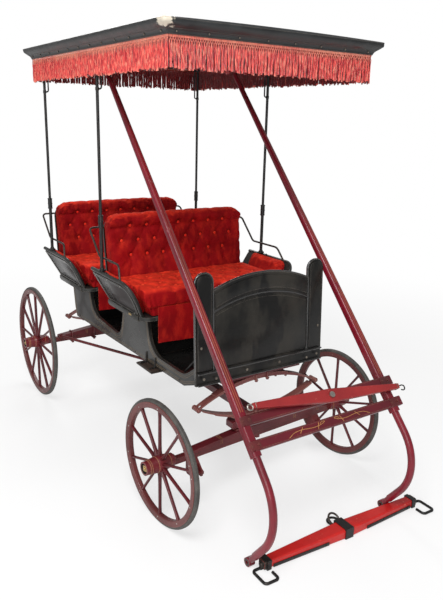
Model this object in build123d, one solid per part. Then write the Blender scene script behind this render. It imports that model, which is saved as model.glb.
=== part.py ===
from build123d import *
import os
from math import atan2, cos, degrees, hypot, radians, sin

# A four-wheeled two-seat surrey with a fringed standing top. Front is -Y, the carriage's left is +X, up is +Z.
# All places are measured from the floor under the front axle's middle; write() sets the origin at last.
# Its detached shafts stand on their heels in front and lean back under the top, as it is parked.

# Wheels
wheel_base = 1661.0
track = 1153.0
front_wheel_r = 300.0
rear_wheel_r = 360.0
front_spokes = 10
rear_spokes = 12
tyre_width = 24.0
tyre_depth = 15.0
tyre_round = 9.0
felloe_width = 28.0
felloe_depth = 27.0
felloe_round = 6.0
spoke_root_width = 23.0
spoke_root_thick = 15.0
spoke_tip_width = 16.0
spoke_tip_thick = 12.0
spoke_sides = 10
spoke_bury = 4.0
nave_r = 39.0
nave_shoulder = 15.0
nave_nose = 84.0
nave_inner = 64.0
nave_nose_r = 29.0
nave_inner_r = 31.0
band_thick = 3.0
nose_band = 16.0
inner_band = 12.0
hub_mouth_depth = 24.0
hub_mouth_r = 24.5
box_wall = 3.0
axle_arm_r = 13.0
running_gap = 0.3
end_gap = 1.0

# Axles and their wooden beds
axle_bar = 30.0
axle_drop = 11.0
axle_collar_r = 23.0
axle_collar = 9.0
axle_nut = 27.0
axle_nut_thick = 18.0
bed_width = 46.0
front_bed_depth = 34.0
rear_bed_depth = 50.0
bed_half_length = 435.0
bed_taper_start = 110.0
bed_end_depth = 12.0
bed_round = 9.0
rest_steer = 4.0

# Fifth wheel, kingpin, head block and reach
fifth_wheel_r = 150.0
fifth_wheel_width = 32.0
fifth_plate = 9.0
fifth_gap = 0.5
cross_strap = 34.0
kingpin_r = 9.0
kingpin_head_r = 17.0
kingpin_head = 12.0
head_block_half = 170.0
head_block_width = 56.0
head_block_depth = 34.0
head_block_round = 8.0
reach_width = 48.0
reach_depth = 40.0
reach_round = 5.0
stay_r = 9.0
stay_spread = 425.0
stay_meet = 720.0
stay_drop = 3.0
stay_pad_r = 15.0
stay_pad = 14.0

# Shaft couplings on the front axle
coupling_width = 46.0
coupling_thick = 8.0
coupling_drop = 96.0
coupling_reach = 46.0
coupling_eye_r = 15.0
coupling_bolt_r = 7.0
coupling_head_r = 12.0
coupling_head = 9.0

# Elliptic springs, set across the carriage
spring_eye_x = 360.0
spring_eye_z = 499.0
spring_width = 40.0
leaf = 7.0
leaf_shares = (1.0, 0.74, 0.46)
eye_r = 12.0
eye_bolt_r = 5.5
bolt_head_r = 9.0
eye_split = 13.0
eye_gap = 0.5
spring_top_z = 608.0

# Body
body_half = 360.0
side_thick = 18.0
panel = 14.0
sill_front_y = 117.0
sill_front_z = 573.0
sill_rear_y = 1493.0
sill_rear_z = 549.0
toe_y = -8.0
toe_z = 622.0
toe_top_z = 705.0
back_mid_y = 1517.0
back_mid_z = 607.0
back_top_y = 1550.0
floor_lip = 12.0
entry_round = 130.0
entry_corner = 45.0
entry_heel_round = 85.0
entry_low_front_z = 628.0
entry_low_rear_z = 618.0
front_riser_y = 500.0
front_box_back_y = 780.0
rear_riser_y = 1262.0

# Seats: the second is the first, moved back and down
seat_front_y = 420.0
seat_length = 422.0
seat_half = 420.0
seat_board = 20.0
seat_board_top = 832.0
seat_pitch = 765.0
seat_fall_back = 27.0
seat_round = 12.0
seat_front_round = 50.0
arm_foot_x = 400.0
arm_top_x = 510.0
arm_height = 186.0
arm_panel = 12.0
arm_shoulder = 54.0
arm_foot_set = 50.0
arm_belly = 12.0
arm_belly_rise = 120.0
arm_belly_round = 150.0
arm_lead = 22.0
arm_tail = 22.0
arm_setback = 4.0
arm_rail_r = 10.0
soft_gap = 0.3
cushion_front = 6.0
cushion_depth = 150.0
cushion_round = 34.0
back_foot_y = 330.0
back_rake = 62.0
back_height = 478.0
back_half = 430.0
back_thick = 66.0
back_board = 12.0
back_corner = 80.0
back_roll_r = 44.0
back_roll_ahead = 3.0
arm_pad_thick = 26.0
arm_pad_lift = 4.0
fall_half = 338.0
fall_drop = 142.0
fall_thick = 5.0
iron_r = 5.5
iron_half = 500.0
back_foot_half = 394.0
back_lip = 26.0
arm_embed = 2.0
arm_pad_gap = 2.0
cushion_foot_half = 364.0
cushion_lip = 52.0
cushion_over = 18.0
iron_front = 50.0
iron_lean = 58.0
iron_kick = 14.0
iron_splay = 20.0
iron_lift = 78.0
iron_rise = 130.0
iron_bend = 38.0
iron_top_bend = 22.0

# Spring bars and body hangers
front_bar_half = 240.0
front_bar_width = 44.0
rear_bar_width = 50.0
rear_bar_depth = 30.0
hanger_x = 140.0
hanger_width = 30.0
hanger_thick = 8.0
hanger_rise = 70.0

# Dash
dash_half = 378.0
dash_bottom_z = 621.0
dash_y = -22.0
dash_lean_y = 26.0
dash_top_z = 1146.0
dash_wing = 96.0
dash_wing_round = 46.0
dash_thick = 14.0
dash_spring_z = 1058.0
dash_crown_z = 1116.0
dash_rim_r = 7.0
dash_rim_inset = 3.0
dash_moulding_r = 5.0
dash_moulding_drop = 96.0
dash_base_z = 683.0
dash_base_thick = 12.0

# Steps
step_in_x = 338.0
step_out_x = 404.0
step_front_y = 368.0
step_rear_y = 540.0
step_top_z = 558.0
step_thick = 7.0
step_post = 26.0

# Standing top
post_x = 515.0
front_post_y = 700.0
rear_post_y = 1460.0
post_r = 7.5
post_low_r = 9.0
post_joint_z = 1290.0
post_joint = 62.0
post_joint_r = 12.5
post_foot_r = 17.0
post_foot_rise = 14.0
post_foot = 8.0
brace_r = 4.0
brace_z = 1930.0
brace_out = 22.0
top_half = 545.0
top_front_y = -49.0
top_rear_y = 1563.0
top_rail_z = 2111.0
top_rail = 26.0
top_rail_width = 50.0
top_flare = 42.0
top_band = 52.0
top_crown = 24.0
top_skin = 10.0
bow_width = 30.0
bow_depth = 16.0
bows = 5
fringe_drop = 133.0
fringe_thick = 8.0

# Shafts and their crossbars
shaft_x = 401.3
shaft_heel_y = -508.0
shaft_low_y = -500.0
shaft_low_z = 540.0
shaft_top_y = 868.0
shaft_top_z = 2052.0
shaft_square = 42.0
shaft_corner = 11.0
shaft_foot = 34.0
shaft_taper_start = 170.0
shaft_tip = 26.0
shaft_tip_corner = 12.0
shaft_knee = 329.0
shaft_knee_r = 237.0
heel_r = 17.0
shaft_heel_r = 20.0
heel_eye_r = 7.5
heel_eye_width = 29.0
heel_neck = 60.0
heel_neck_r = 14.0
crossbar = 44.0
crossbar_thick = 28.0
crossbar_proud = 4.0
crossbar_round = 5.0
crossbar_right = 405.0
crossbar_left = 448.0
crossbar_seats = (8.0, 113.0)
tree_gap = 6.0
tree_half = 403.0
tree_mid_x = 42.0
tree_mid = 62.0
tree_end = 24.0
tree_thick = 26.0
tree_corner = 8.0
tree_turn = 6.4
tree_bolt_r = 7.0
tree_bolt_head_r = 13.0
tree_bolt_head = 8.0

# Loose singletree on the floor
bar_mid_x = 87.0
bar_mid_y = -562.0
bar_half = 459.0
bar_mid_width = 78.0
bar_end_width = 42.0
bar_thick = 50.0
bar_end_thick = 36.0
bar_round = 12.0
bar_turn = -1.1
clip_width = 46.0
clip_thick = 4.0
ring_r = 27.0
ring_wire = 5.5
strap_width = 22.0
hook_wire = 6.5
hook_length = 92.0
hook_span = 46.0

overrun = 50.0


# Helpers
def outline(points, radii):
    return make_face(FilletPolyline(*points, radius=radii, close=True))


def block(x0, x1, y0, y1, z0, z1):
    return Pos((x0 + x1) / 2, (y0 + y1) / 2, (z0 + z1) / 2) * Box(abs(x1 - x0), abs(y1 - y0), abs(z1 - z0))


def slab_yz(points, radii, x0, x1):
    """A side outline of (y, z) points, solid from x0 to x1."""
    return Pos(x0, 0, 0) * extrude(Plane.YZ * outline(points, radii), amount=x1 - x0)


def slab_xz(points, radii, y0, y1):
    """A front outline of (x, z) points, solid from y0 to y1."""
    return Pos(0, y1, 0) * extrude(Plane.XZ * outline(points, radii), amount=y1 - y0)


def rod(points, radius, bends):
    """Round bar along straight runs joined by arcs."""
    path = FilletPolyline(*points, radius=bends) if len(points) > 2 else Line(*points)
    start = path @ 0
    return sweep(Plane(origin=start, z_dir=path % 0) * Circle(radius), path=path)


def rod_between(start, end, radius, end_radius=None):
    span = Vector(end) - Vector(start)
    frame = Plane(origin=start, z_dir=span)
    if end_radius is None or end_radius == radius:
        return frame * Pos(0, 0, span.length / 2) * Cylinder(radius, span.length)
    return frame * Pos(0, 0, span.length / 2) * Cone(radius, end_radius, span.length)


def bar_x(radius, x0, x1):
    return Pos((x0 + x1) / 2, 0, 0) * Rot(0, 90, 0) * Cylinder(radius, abs(x1 - x0))


def turned(points, radii):
    """A shape turned about the X axis from (x, radius) points."""
    return revolve(outline(points, radii), Axis.X)


def mirrored(shape):
    return mirror(shape, about=Plane.YZ)


def both(shape):
    return [shape, mirrored(shape)]


def steered(shape):
    return Rot(0, 0, rest_steer) * shape


# The frontmost point is the round of the left hook of the loose singletree, the rearmost the rear tyres
hook_round = hook_span / 3
hook_far_x = bar_half + hook_span - hook_round
hook_far_y = hook_far_x * sin(radians(bar_turn)) - (hook_length - hook_round) * cos(radians(bar_turn))
front_extent_y = bar_mid_y + hook_far_y - hook_round - hook_wire
middle_y = (front_extent_y + wheel_base + rear_wheel_r) / 2


def write(name, *shapes):
    solids = [solid for shape in shapes for solid in shape.solids()]
    whole = solids[0] if len(solids) == 1 else Compound(solids)
    export_step(whole.moved(Location((0, -middle_y, 0))), f"parts/{name}.step")


os.makedirs("parts", exist_ok=True)

# Wheels, turned and built about the X axis with the nose toward +X
box_r = axle_arm_r + running_gap
liner_r = box_r + box_wall


def spoke_section(at_r, width, thick):
    """Oval section with flat sides, wide along the axle."""
    turns = [radians(360 * (i + 0.5) / spoke_sides) for i in range(spoke_sides)]
    points = [(width / 2 * cos(turn), thick / 2 * sin(turn)) for turn in turns]
    return Plane.XY.offset(at_r) * make_face(Polyline(*points, close=True))


def spoke(root_r, tip_r):
    root = spoke_section(root_r, spoke_root_width, spoke_root_thick)
    tip = spoke_section(tip_r, spoke_tip_width, spoke_tip_thick)
    return loft([root, tip], ruled=True)


def wheel_wood(radius, count):
    rim_out = radius - tyre_depth
    rim_in = rim_out - felloe_depth
    half = felloe_width / 2
    felloe = turned(
        [(-half, rim_in), (half, rim_in), (half, rim_out), (-half, rim_out)], [felloe_round, felloe_round, 0, 0]
    )
    mouth_x = nave_nose - hub_mouth_depth
    nave = turned(
        [
            (-nave_inner, liner_r),
            (-nave_inner, nave_inner_r - band_thick),
            (-nave_inner + inner_band, nave_inner_r - band_thick),
            (-nave_inner + inner_band, nave_inner_r),
            (-nave_shoulder, nave_r),
            (nave_shoulder, nave_r),
            (nave_nose - nose_band, nave_nose_r + band_thick),
            (nave_nose - nose_band, nave_nose_r),
            (nave_nose, nave_nose_r),
            (nave_nose, hub_mouth_r),
            (mouth_x, hub_mouth_r),
            (mouth_x, liner_r),
        ],
        [0] * 12,
    )
    one = spoke(nave_r - spoke_bury, rim_in + spoke_bury)
    spokes = [Rot(360.0 * i / count, 0, 0) * one for i in range(count)]
    return nave.fuse(felloe, *spokes)


def wheel_irons():
    nose = turned(
        [
            (nave_nose - nose_band, nave_nose_r),
            (nave_nose, nave_nose_r),
            (nave_nose, nave_nose_r + band_thick),
            (nave_nose - nose_band, nave_nose_r + band_thick),
        ],
        [0] * 4,
    )
    inner = turned(
        [
            (-nave_inner, nave_inner_r - band_thick),
            (-nave_inner + inner_band, nave_inner_r - band_thick),
            (-nave_inner + inner_band, nave_inner_r),
            (-nave_inner, nave_inner_r),
        ],
        [0] * 4,
    )
    mouth_x = nave_nose - hub_mouth_depth
    liner = bar_x(liner_r, -nave_inner, mouth_x) - bar_x(box_r, -nave_inner - overrun, mouth_x + overrun)
    return [nose, inner, liner]


def wheel_tyre(radius):
    half = tyre_width / 2
    seat = radius - tyre_depth
    return turned([(-half, seat), (half, seat), (half, radius), (-half, radius)], [0, 0, tyre_round, tyre_round])


wheel_rows = (
    # name, radius, spokes, axle y, side
    ("front_right", front_wheel_r, front_spokes, 0.0, -1),
    ("front_left", front_wheel_r, front_spokes, 0.0, 1),
    ("rear_right", rear_wheel_r, rear_spokes, wheel_base, -1),
    ("rear_left", rear_wheel_r, rear_spokes, wheel_base, 1),
)
for name, radius, count, axle_y, side in wheel_rows:
    place = Pos(side * track / 2, axle_y, radius)
    turn = Rot(0, 0, 0 if side > 0 else 180)
    steer = Rot(0, 0, rest_steer if axle_y == 0 else 0)
    write(f"wheel_{name}", steer * place * turn * wheel_wood(radius, count))
    write(f"wheel_{name}_irons", *[steer * place * turn * piece for piece in wheel_irons()])
    write(f"tyre_{name}", steer * place * turn * wheel_tyre(radius))


# Axles: square bar, round arms, collars and hub nuts in one forging; a wooden bed lies on each
def axle(height):
    shoulder = track / 2 - nave_inner - end_gap
    nut_x = track / 2 + nave_nose - hub_mouth_depth + end_gap
    bar = block(-shoulder, shoulder, -axle_bar / 2, axle_bar / 2, height - axle_drop - axle_bar / 2,
                height - axle_drop + axle_bar / 2)
    forged = bar
    for side in (-1, 1):
        arm = bar_x(axle_arm_r, side * (shoulder - axle_collar), side * (nut_x + axle_nut_thick))
        collar = bar_x(axle_collar_r, side * (shoulder - axle_collar), side * shoulder)
        nut = Pos(side * (nut_x + axle_nut_thick / 2), 0, 0) * Box(axle_nut_thick, axle_nut, axle_nut)
        forged = forged.fuse(*[Pos(0, 0, height) * piece for piece in (arm, collar, nut)])
    return forged


def axle_bed(height, depth):
    low = height - axle_drop + axle_bar / 2
    top = low + depth
    points = [
        (-bed_half_length, low), (bed_half_length, low), (bed_half_length, low + bed_end_depth),
        (bed_taper_start, top), (-bed_taper_start, top), (-bed_half_length, low + bed_end_depth),
    ]
    bed = slab_xz(points, [0, 0, bed_round, bed_round * 2, bed_round * 2, bed_round], -bed_width / 2, bed_width / 2)
    return bed


front_bed_top = front_wheel_r - axle_drop + axle_bar / 2 + front_bed_depth
rear_bed_top = rear_wheel_r - axle_drop + axle_bar / 2 + rear_bed_depth
pin_hole = Pos(0, 0, front_bed_top) * Cylinder(kingpin_r + running_gap, 4 * front_bed_depth + 2 * axle_bar)
write("front_axle", steered(axle(front_wheel_r) - pin_hole))
write("front_axle_bed", steered(axle_bed(front_wheel_r, front_bed_depth) - pin_hole))
write("rear_axle", Pos(0, wheel_base, 0) * axle(rear_wheel_r))
write("rear_axle_bed", Pos(0, wheel_base, 0) * axle_bed(rear_wheel_r, rear_bed_depth))

# Fifth wheel
upper_plate_z = front_bed_top + fifth_plate + fifth_gap
head_low_z = upper_plate_z + fifth_plate
head_top_z = head_low_z + head_block_depth


def fifth_ring(low_z, hole_r):
    ring = Pos(0, 0, low_z + fifth_plate / 2) * (
        Cylinder(fifth_wheel_r, fifth_plate) - Cylinder(fifth_wheel_r - fifth_wheel_width, fifth_plate)
    )
    inner = fifth_wheel_r - fifth_wheel_width / 2
    strap = block(-inner, inner, -cross_strap / 2, cross_strap / 2, low_z, low_z + fifth_plate)
    ring = ring & block(-fifth_wheel_r, fifth_wheel_r, -cross_strap / 2, fifth_wheel_r, low_z, low_z + fifth_plate)
    ring = ring.fuse(strap)
    if hole_r > 0:
        ring = ring - Pos(0, 0, low_z) * Cylinder(hole_r, 3 * fifth_plate)
    return ring


bar_low_z = front_wheel_r - axle_drop - axle_bar / 2
pin_low_z = bar_low_z - end_gap - kingpin_head
write("fifth_wheel_lower", steered(fifth_ring(front_bed_top, kingpin_r + running_gap)))
kingpin = Pos(0, 0, (pin_low_z + head_low_z) / 2) * Cylinder(kingpin_r, head_low_z - pin_low_z)
kingpin_nut = Pos(0, 0, pin_low_z + kingpin_head / 2) * extrude(
    RegularPolygon(kingpin_head_r, 6), kingpin_head / 2, both=True
)
write("fifth_wheel_upper", fifth_ring(upper_plate_z, 0).fuse(kingpin, kingpin_nut))
head_half = head_block_width / 2
head_block = slab_xz(
    [
        (-head_block_half, head_low_z), (head_block_half, head_low_z),
        (head_block_half, head_top_z), (-head_block_half, head_top_z),
    ],
    [0, 0, head_block_round, head_block_round], -head_half, head_half,
)
write("head_block", head_block)

# Reach and its two stays
reach_low_z = head_low_z + stay_drop
reach_top_z = reach_low_z + reach_depth
reach_end_y = wheel_base - bed_width / 2
reach = block(-reach_width / 2, reach_width / 2, head_half, reach_end_y, reach_low_z, reach_top_z)
reach = fillet(reach.edges().filter_by(Axis.Y), reach_round)
write("reach", reach)
stay_z = reach_low_z + reach_depth / 2
stay_rear_y = reach_end_y - stay_pad
stay_foot = (stay_spread, stay_rear_y, stay_z)
stay_joint = (reach_width / 2 + stay_r, stay_meet, stay_z)
stay = rod_between(stay_foot, stay_joint, stay_r)
stay_pad_foot = Pos(stay_spread, reach_end_y - stay_pad / 2, stay_z) * Rot(90, 0, 0) * Cylinder(stay_pad_r, stay_pad)
stay_pad_joint = block(reach_width / 2, reach_width / 2 + 2 * stay_r, stay_meet - 2 * stay_pad,
                       stay_meet + stay_pad, stay_z - stay_r, stay_z + stay_r)
stay_piece = stay.fuse(stay_pad_foot, stay_pad_joint)
write("reach_stays", *both(stay_piece))

# Shaft couplings: plates hanging from the axle bar with a forward eye
coupling_low_z = bar_low_z - coupling_drop + axle_bar
eye_y = -coupling_reach
coupling_points = [
    (axle_bar / 2, bar_low_z), (-axle_bar / 2, bar_low_z), (eye_y - coupling_eye_r, coupling_low_z + coupling_eye_r),
    (eye_y - coupling_eye_r, coupling_low_z - coupling_eye_r), (axle_bar / 2, coupling_low_z - coupling_eye_r),
]
coupling = slab_yz(
    coupling_points, [0, 0, coupling_eye_r / 2, coupling_eye_r / 2, axle_bar / 2],
    shaft_x - coupling_width / 2, shaft_x + coupling_width / 2,
)
jaw = slab_yz(
    [
        (eye_y + coupling_eye_r, bar_low_z + overrun), (eye_y - overrun, bar_low_z + overrun),
        (eye_y - overrun, coupling_low_z - overrun), (eye_y + coupling_eye_r, coupling_low_z - overrun),
    ],
    [0] * 4,
    shaft_x - coupling_width / 2 + coupling_thick, shaft_x + coupling_width / 2 - coupling_thick,
)
eye_place = Pos(shaft_x, eye_y, coupling_low_z) * Rot(0, 90, 0)
coupling_bolt = eye_place * Cylinder(coupling_bolt_r, coupling_width)
for end in (-1, 1):
    head_at = end * (coupling_width + coupling_head) / 2
    coupling_bolt = coupling_bolt.fuse(
        eye_place * Pos(0, 0, head_at) * extrude(RegularPolygon(coupling_head_r, 6), coupling_head / 2, both=True)
    )
coupling = (coupling - jaw).fuse(coupling_bolt)
write("shaft_couplings", *[steered(piece) for piece in both(coupling)])


# Elliptic springs
def leaf_arc(rise_z, drop, half_share):
    """One leaf as a band between two arcs through the eyes and the middle, cut to its share of the length."""
    half = spring_eye_x
    mid_z = rise_z
    outer = ThreePointArc((-half, spring_eye_z - drop), (0, mid_z - drop), (half, spring_eye_z - drop))
    inner = ThreePointArc(
        (-half, spring_eye_z - drop + leaf), (0, mid_z - drop + leaf), (half, spring_eye_z - drop + leaf)
    )
    ends = [Line((-half, spring_eye_z - drop), (-half, spring_eye_z - drop + leaf)),
            Line((half, spring_eye_z - drop), (half, spring_eye_z - drop + leaf))]
    face = make_face(Plane.XZ * (outer + inner + ends[0] + ends[1]))
    band = Pos(0, spring_width / 2, 0) * extrude(face, amount=spring_width)
    if half_share < 1:
        limit = half * half_share
        band = band & block(-limit, limit, -spring_width, spring_width, 0, spring_top_z + overrun)
    return band


def spring_half(mid_z, step, eye_spans):
    """Leaves stacked away from the opening, with eyes over the given spans of the width."""
    main = leaf_arc(mid_z, leaf / 2, 1.0)
    neck = spring_eye_x - 2 * eye_r
    clear_spans = []
    edges = [-spring_width / 2 - overrun] + [value for span in eye_spans for value in span] + [
        spring_width / 2 + overrun
    ]
    for start, end in zip(edges[0::2], edges[1::2]):
        if end - start > eye_gap:
            clear_spans.append((start, end))
    for side in (-1, 1):
        for start, end in clear_spans:
            main = main - block(side * neck, side * (spring_eye_x + overrun), start, end, 0, spring_top_z + overrun)
    half = main
    for number, share in enumerate(leaf_shares[1:], 1):
        half = half.fuse(leaf_arc(mid_z + step * number * leaf, leaf / 2, share))
    for side in (-1, 1):
        for start, end in eye_spans:
            eye = Pos(side * spring_eye_x, (start + end) / 2, spring_eye_z) * Rot(90, 0, 0) * Cylinder(
                eye_r, end - start
            )
            half = half.fuse(eye)
    return half


def spring(low_z, name, at_y):
    """Lower half with the eye bolts in its single eyes, upper half with forked eyes that turn on them."""
    half_width = spring_width / 2
    centre = eye_split / 2
    stack = (len(leaf_shares) - 1) * leaf + leaf / 2
    low = spring_half(low_z + stack, -1, [(-centre, centre)])
    top = spring_half(spring_top_z - stack, 1, [(-half_width, -centre - eye_gap), (centre + eye_gap, half_width)])
    for side in (-1, 1):
        at_eye = Pos(side * spring_eye_x, 0, spring_eye_z) * Rot(90, 0, 0)
        pin = at_eye * Cylinder(eye_bolt_r, spring_width + 2 * leaf)
        for end in (-1, 1):
            pin = pin.fuse(at_eye * Pos(0, 0, end * (spring_width + leaf) / 2) * Cylinder(bolt_head_r, leaf))
        low = low.fuse(pin)
        top = top - at_eye * Cylinder(eye_bolt_r + running_gap, spring_width + overrun)
    write(f"{name}_lower", Pos(0, at_y, 0) * low)
    write(f"{name}_upper", Pos(0, at_y, 0) * top)


spring(head_top_z, "front_spring", 0.0)
spring(rear_bed_top, "rear_spring", wheel_base)


# Dash: two round-topped wings and an arched panel, covered, with raised mouldings, leaning back
def on_dash(shape):
    return Pos(0, dash_y, dash_bottom_z) * Rot(-dash_lean, 0, 0) * shape


dash_height = dash_top_z - dash_bottom_z
dash_lean = degrees(atan2(dash_lean_y, dash_height))
wing_in = dash_half - dash_wing
spring_rise = dash_spring_z - dash_bottom_z
crown_rise = dash_crown_z - dash_bottom_z


def arch_wire(half, low, high):
    return ThreePointArc((-half, low), (0, high), (half, low))


arch = arch_wire(wing_in, spring_rise, crown_rise)
arch_foot = Polyline((wing_in, spring_rise), (wing_in, 0), (-wing_in, 0), (-wing_in, spring_rise))
dash_flat = extrude(Plane.XZ * make_face(arch + arch_foot), amount=-dash_thick)
for side in (-1, 1):
    wing_points = [
        (side * wing_in, 0), (side * dash_half, 0), (side * dash_half, dash_height), (side * wing_in, dash_height)
    ]
    dash_flat = dash_flat.fuse(slab_xz(wing_points, [0, 0, dash_wing_round, dash_wing_round], 0, dash_thick))
base_rise = dash_base_z - dash_bottom_z
mould_low = spring_rise - dash_moulding_drop
mould_high = crown_rise - dash_moulding_drop
moulding_path = Plane.XZ * arch_wire(wing_in, mould_low, mould_high)
moulding = sweep(Plane(origin=moulding_path @ 0, z_dir=moulding_path % 0) * Circle(dash_moulding_r), path=moulding_path)
rim_path = Pos(0, dash_thick / 2, 0) * (Plane.XZ * arch_wire(wing_in, spring_rise, crown_rise))
rim = sweep(Plane(origin=rim_path @ 0, z_dir=rim_path % 0) * Circle(dash_rim_r), path=rim_path)
mouldings = moulding.fuse(rim, block(-dash_half, dash_half, -dash_base_thick, 0, 0, base_rise))
for side in (-1, 1):
    rim_x = side * (dash_half - dash_rim_inset)
    rim_top = dash_height - dash_rim_inset
    edge_path = [
        (rim_x, dash_thick / 2, base_rise / 2), (rim_x, dash_thick / 2, rim_top),
        (side * wing_in, dash_thick / 2, rim_top), (side * wing_in, dash_thick / 2, spring_rise),
    ]
    mouldings = mouldings.fuse(rod(edge_path, dash_rim_r, dash_wing_round - dash_rim_inset))
    mouldings = mouldings.fuse(
        rod_between((side * wing_in, 0, base_rise), (side * wing_in, 0, spring_rise), dash_moulding_r)
    )
mouldings = mouldings - dash_flat
dash = on_dash(dash_flat)
write("dash", dash)
write("dash_mouldings", on_dash(mouldings))

# Body: two sides with entry cut-outs, floor, toe board, back, seat boxes
board_low_z = seat_board_top - seat_board
rear_board_low_z = board_low_z - seat_fall_back
side_in = body_half - side_thick
side_points = [
    # y, z
    (toe_y, toe_z),
    (sill_front_y, sill_front_z),
    (sill_rear_y, sill_rear_z),
    (back_mid_y, back_mid_z),
    (back_top_y, rear_board_low_z),
    (rear_riser_y, rear_board_low_z),
    (rear_riser_y - entry_corner, entry_low_rear_z + entry_corner / 2),
    (front_box_back_y + entry_corner, entry_low_rear_z - entry_corner / 4),
    (front_box_back_y, board_low_z),
    (front_riser_y, board_low_z),
    (front_riser_y - entry_corner, entry_low_front_z),
    (sill_front_y, entry_low_front_z),
    (toe_y + dash_thick, toe_top_z),
]
side_radii = [0, 0, 0, 0, 0, 0, entry_round, entry_heel_round, 0, 0, entry_round, entry_round, 0]
body_side = slab_yz(side_points, side_radii, side_in, body_half) - dash
write("body_side_left", body_side)
write("body_side_right", mirrored(body_side))
sill_slope = (sill_rear_z - sill_front_z) / (sill_rear_y - sill_front_y)


def floor_top(y):
    return sill_front_z + floor_lip + panel + sill_slope * (y - sill_front_y)


floor_points = [
    (sill_front_y, floor_top(sill_front_y) - panel), (sill_rear_y, floor_top(sill_rear_y) - panel),
    (sill_rear_y, floor_top(sill_rear_y)), (sill_front_y, floor_top(sill_front_y)),
]
write("floor", slab_yz(floor_points, [0] * 4, -side_in, side_in))
toe_points = [
    (sill_front_y, floor_top(sill_front_y) - panel), (sill_front_y, floor_top(sill_front_y)),
    (toe_y, toe_z + floor_lip + panel), (toe_y, toe_z + floor_lip),
]
write("toe_board", slab_yz(toe_points, [0] * 4, -side_in, side_in) - dash)
back_points = [
    (sill_rear_y, sill_rear_z), (back_mid_y, back_mid_z), (back_top_y, rear_board_low_z),
    (back_top_y - panel, rear_board_low_z), (back_mid_y - panel, back_mid_z), (sill_rear_y, floor_top(sill_rear_y)),
]
write("body_back", slab_yz(back_points, [0] * 6, -side_in, side_in))


def riser(y, top_z):
    points = [(y, floor_top(y)), (y + panel, floor_top(y + panel)), (y + panel, top_z), (y, top_z)]
    return slab_yz(points, [0] * 4, -side_in, side_in)


write(
    "seat_boxes", riser(front_riser_y, board_low_z), riser(front_box_back_y - panel, board_low_z),
    riser(rear_riser_y, rear_board_low_z),
)

# Bars that carry the body on the springs, and the steps
front_bar = block(-front_bar_half, front_bar_half, -front_bar_width / 2, front_bar_width / 2, spring_top_z, dash_bottom_z)
front_bar = front_bar - dash - body_side - mirrored(body_side)
rear_bar_y = wheel_base - rear_bar_width / 2
rear_bar = block(
    -front_bar_half, front_bar_half, rear_bar_y, rear_bar_y + rear_bar_width, spring_top_z, spring_top_z + rear_bar_depth
)
write("spring_bars", front_bar, rear_bar)
hanger_z = spring_top_z + rear_bar_depth
back_slope = (back_top_y - back_mid_y) / (rear_board_low_z - back_mid_z)


def back_face(z):
    return back_mid_y + back_slope * (z - back_mid_z)


hanger_points = [
    (back_face(hanger_z), hanger_z), (rear_bar_y + rear_bar_width, hanger_z),
    (rear_bar_y + rear_bar_width, hanger_z + hanger_thick), (back_face(hanger_z) + 3 * hanger_thick, hanger_z + hanger_thick),
    (back_face(hanger_z + hanger_rise) + hanger_thick, hanger_z + hanger_rise), (back_face(hanger_z + hanger_rise), hanger_z + hanger_rise),
]
hanger = slab_yz(hanger_points, [0] * 6, hanger_x, hanger_x + hanger_width)
write("rear_body_hangers", *both(hanger))
step_pad = block(step_in_x, step_out_x, step_front_y, step_rear_y, step_top_z - step_thick, step_top_z)
step_mid_y = (step_front_y + step_rear_y) / 2
step_arm = block(side_in, body_half, step_mid_y - step_post, step_mid_y + step_post, step_top_z, step_top_z + step_post)
step_left = step_pad.fuse(step_arm) - body_side
write("steps", *both(step_left))


# Seats
arm_run = arm_top_x - arm_foot_x
arm_slant = hypot(arm_run, arm_height)
arm_sin = arm_run / arm_slant
arm_cos = arm_height / arm_slant


def arm_plane(y, z):
    return Plane(origin=(arm_foot_x, y, z), x_dir=(0, 1, 0), z_dir=(arm_cos, 0, -arm_sin))


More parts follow.
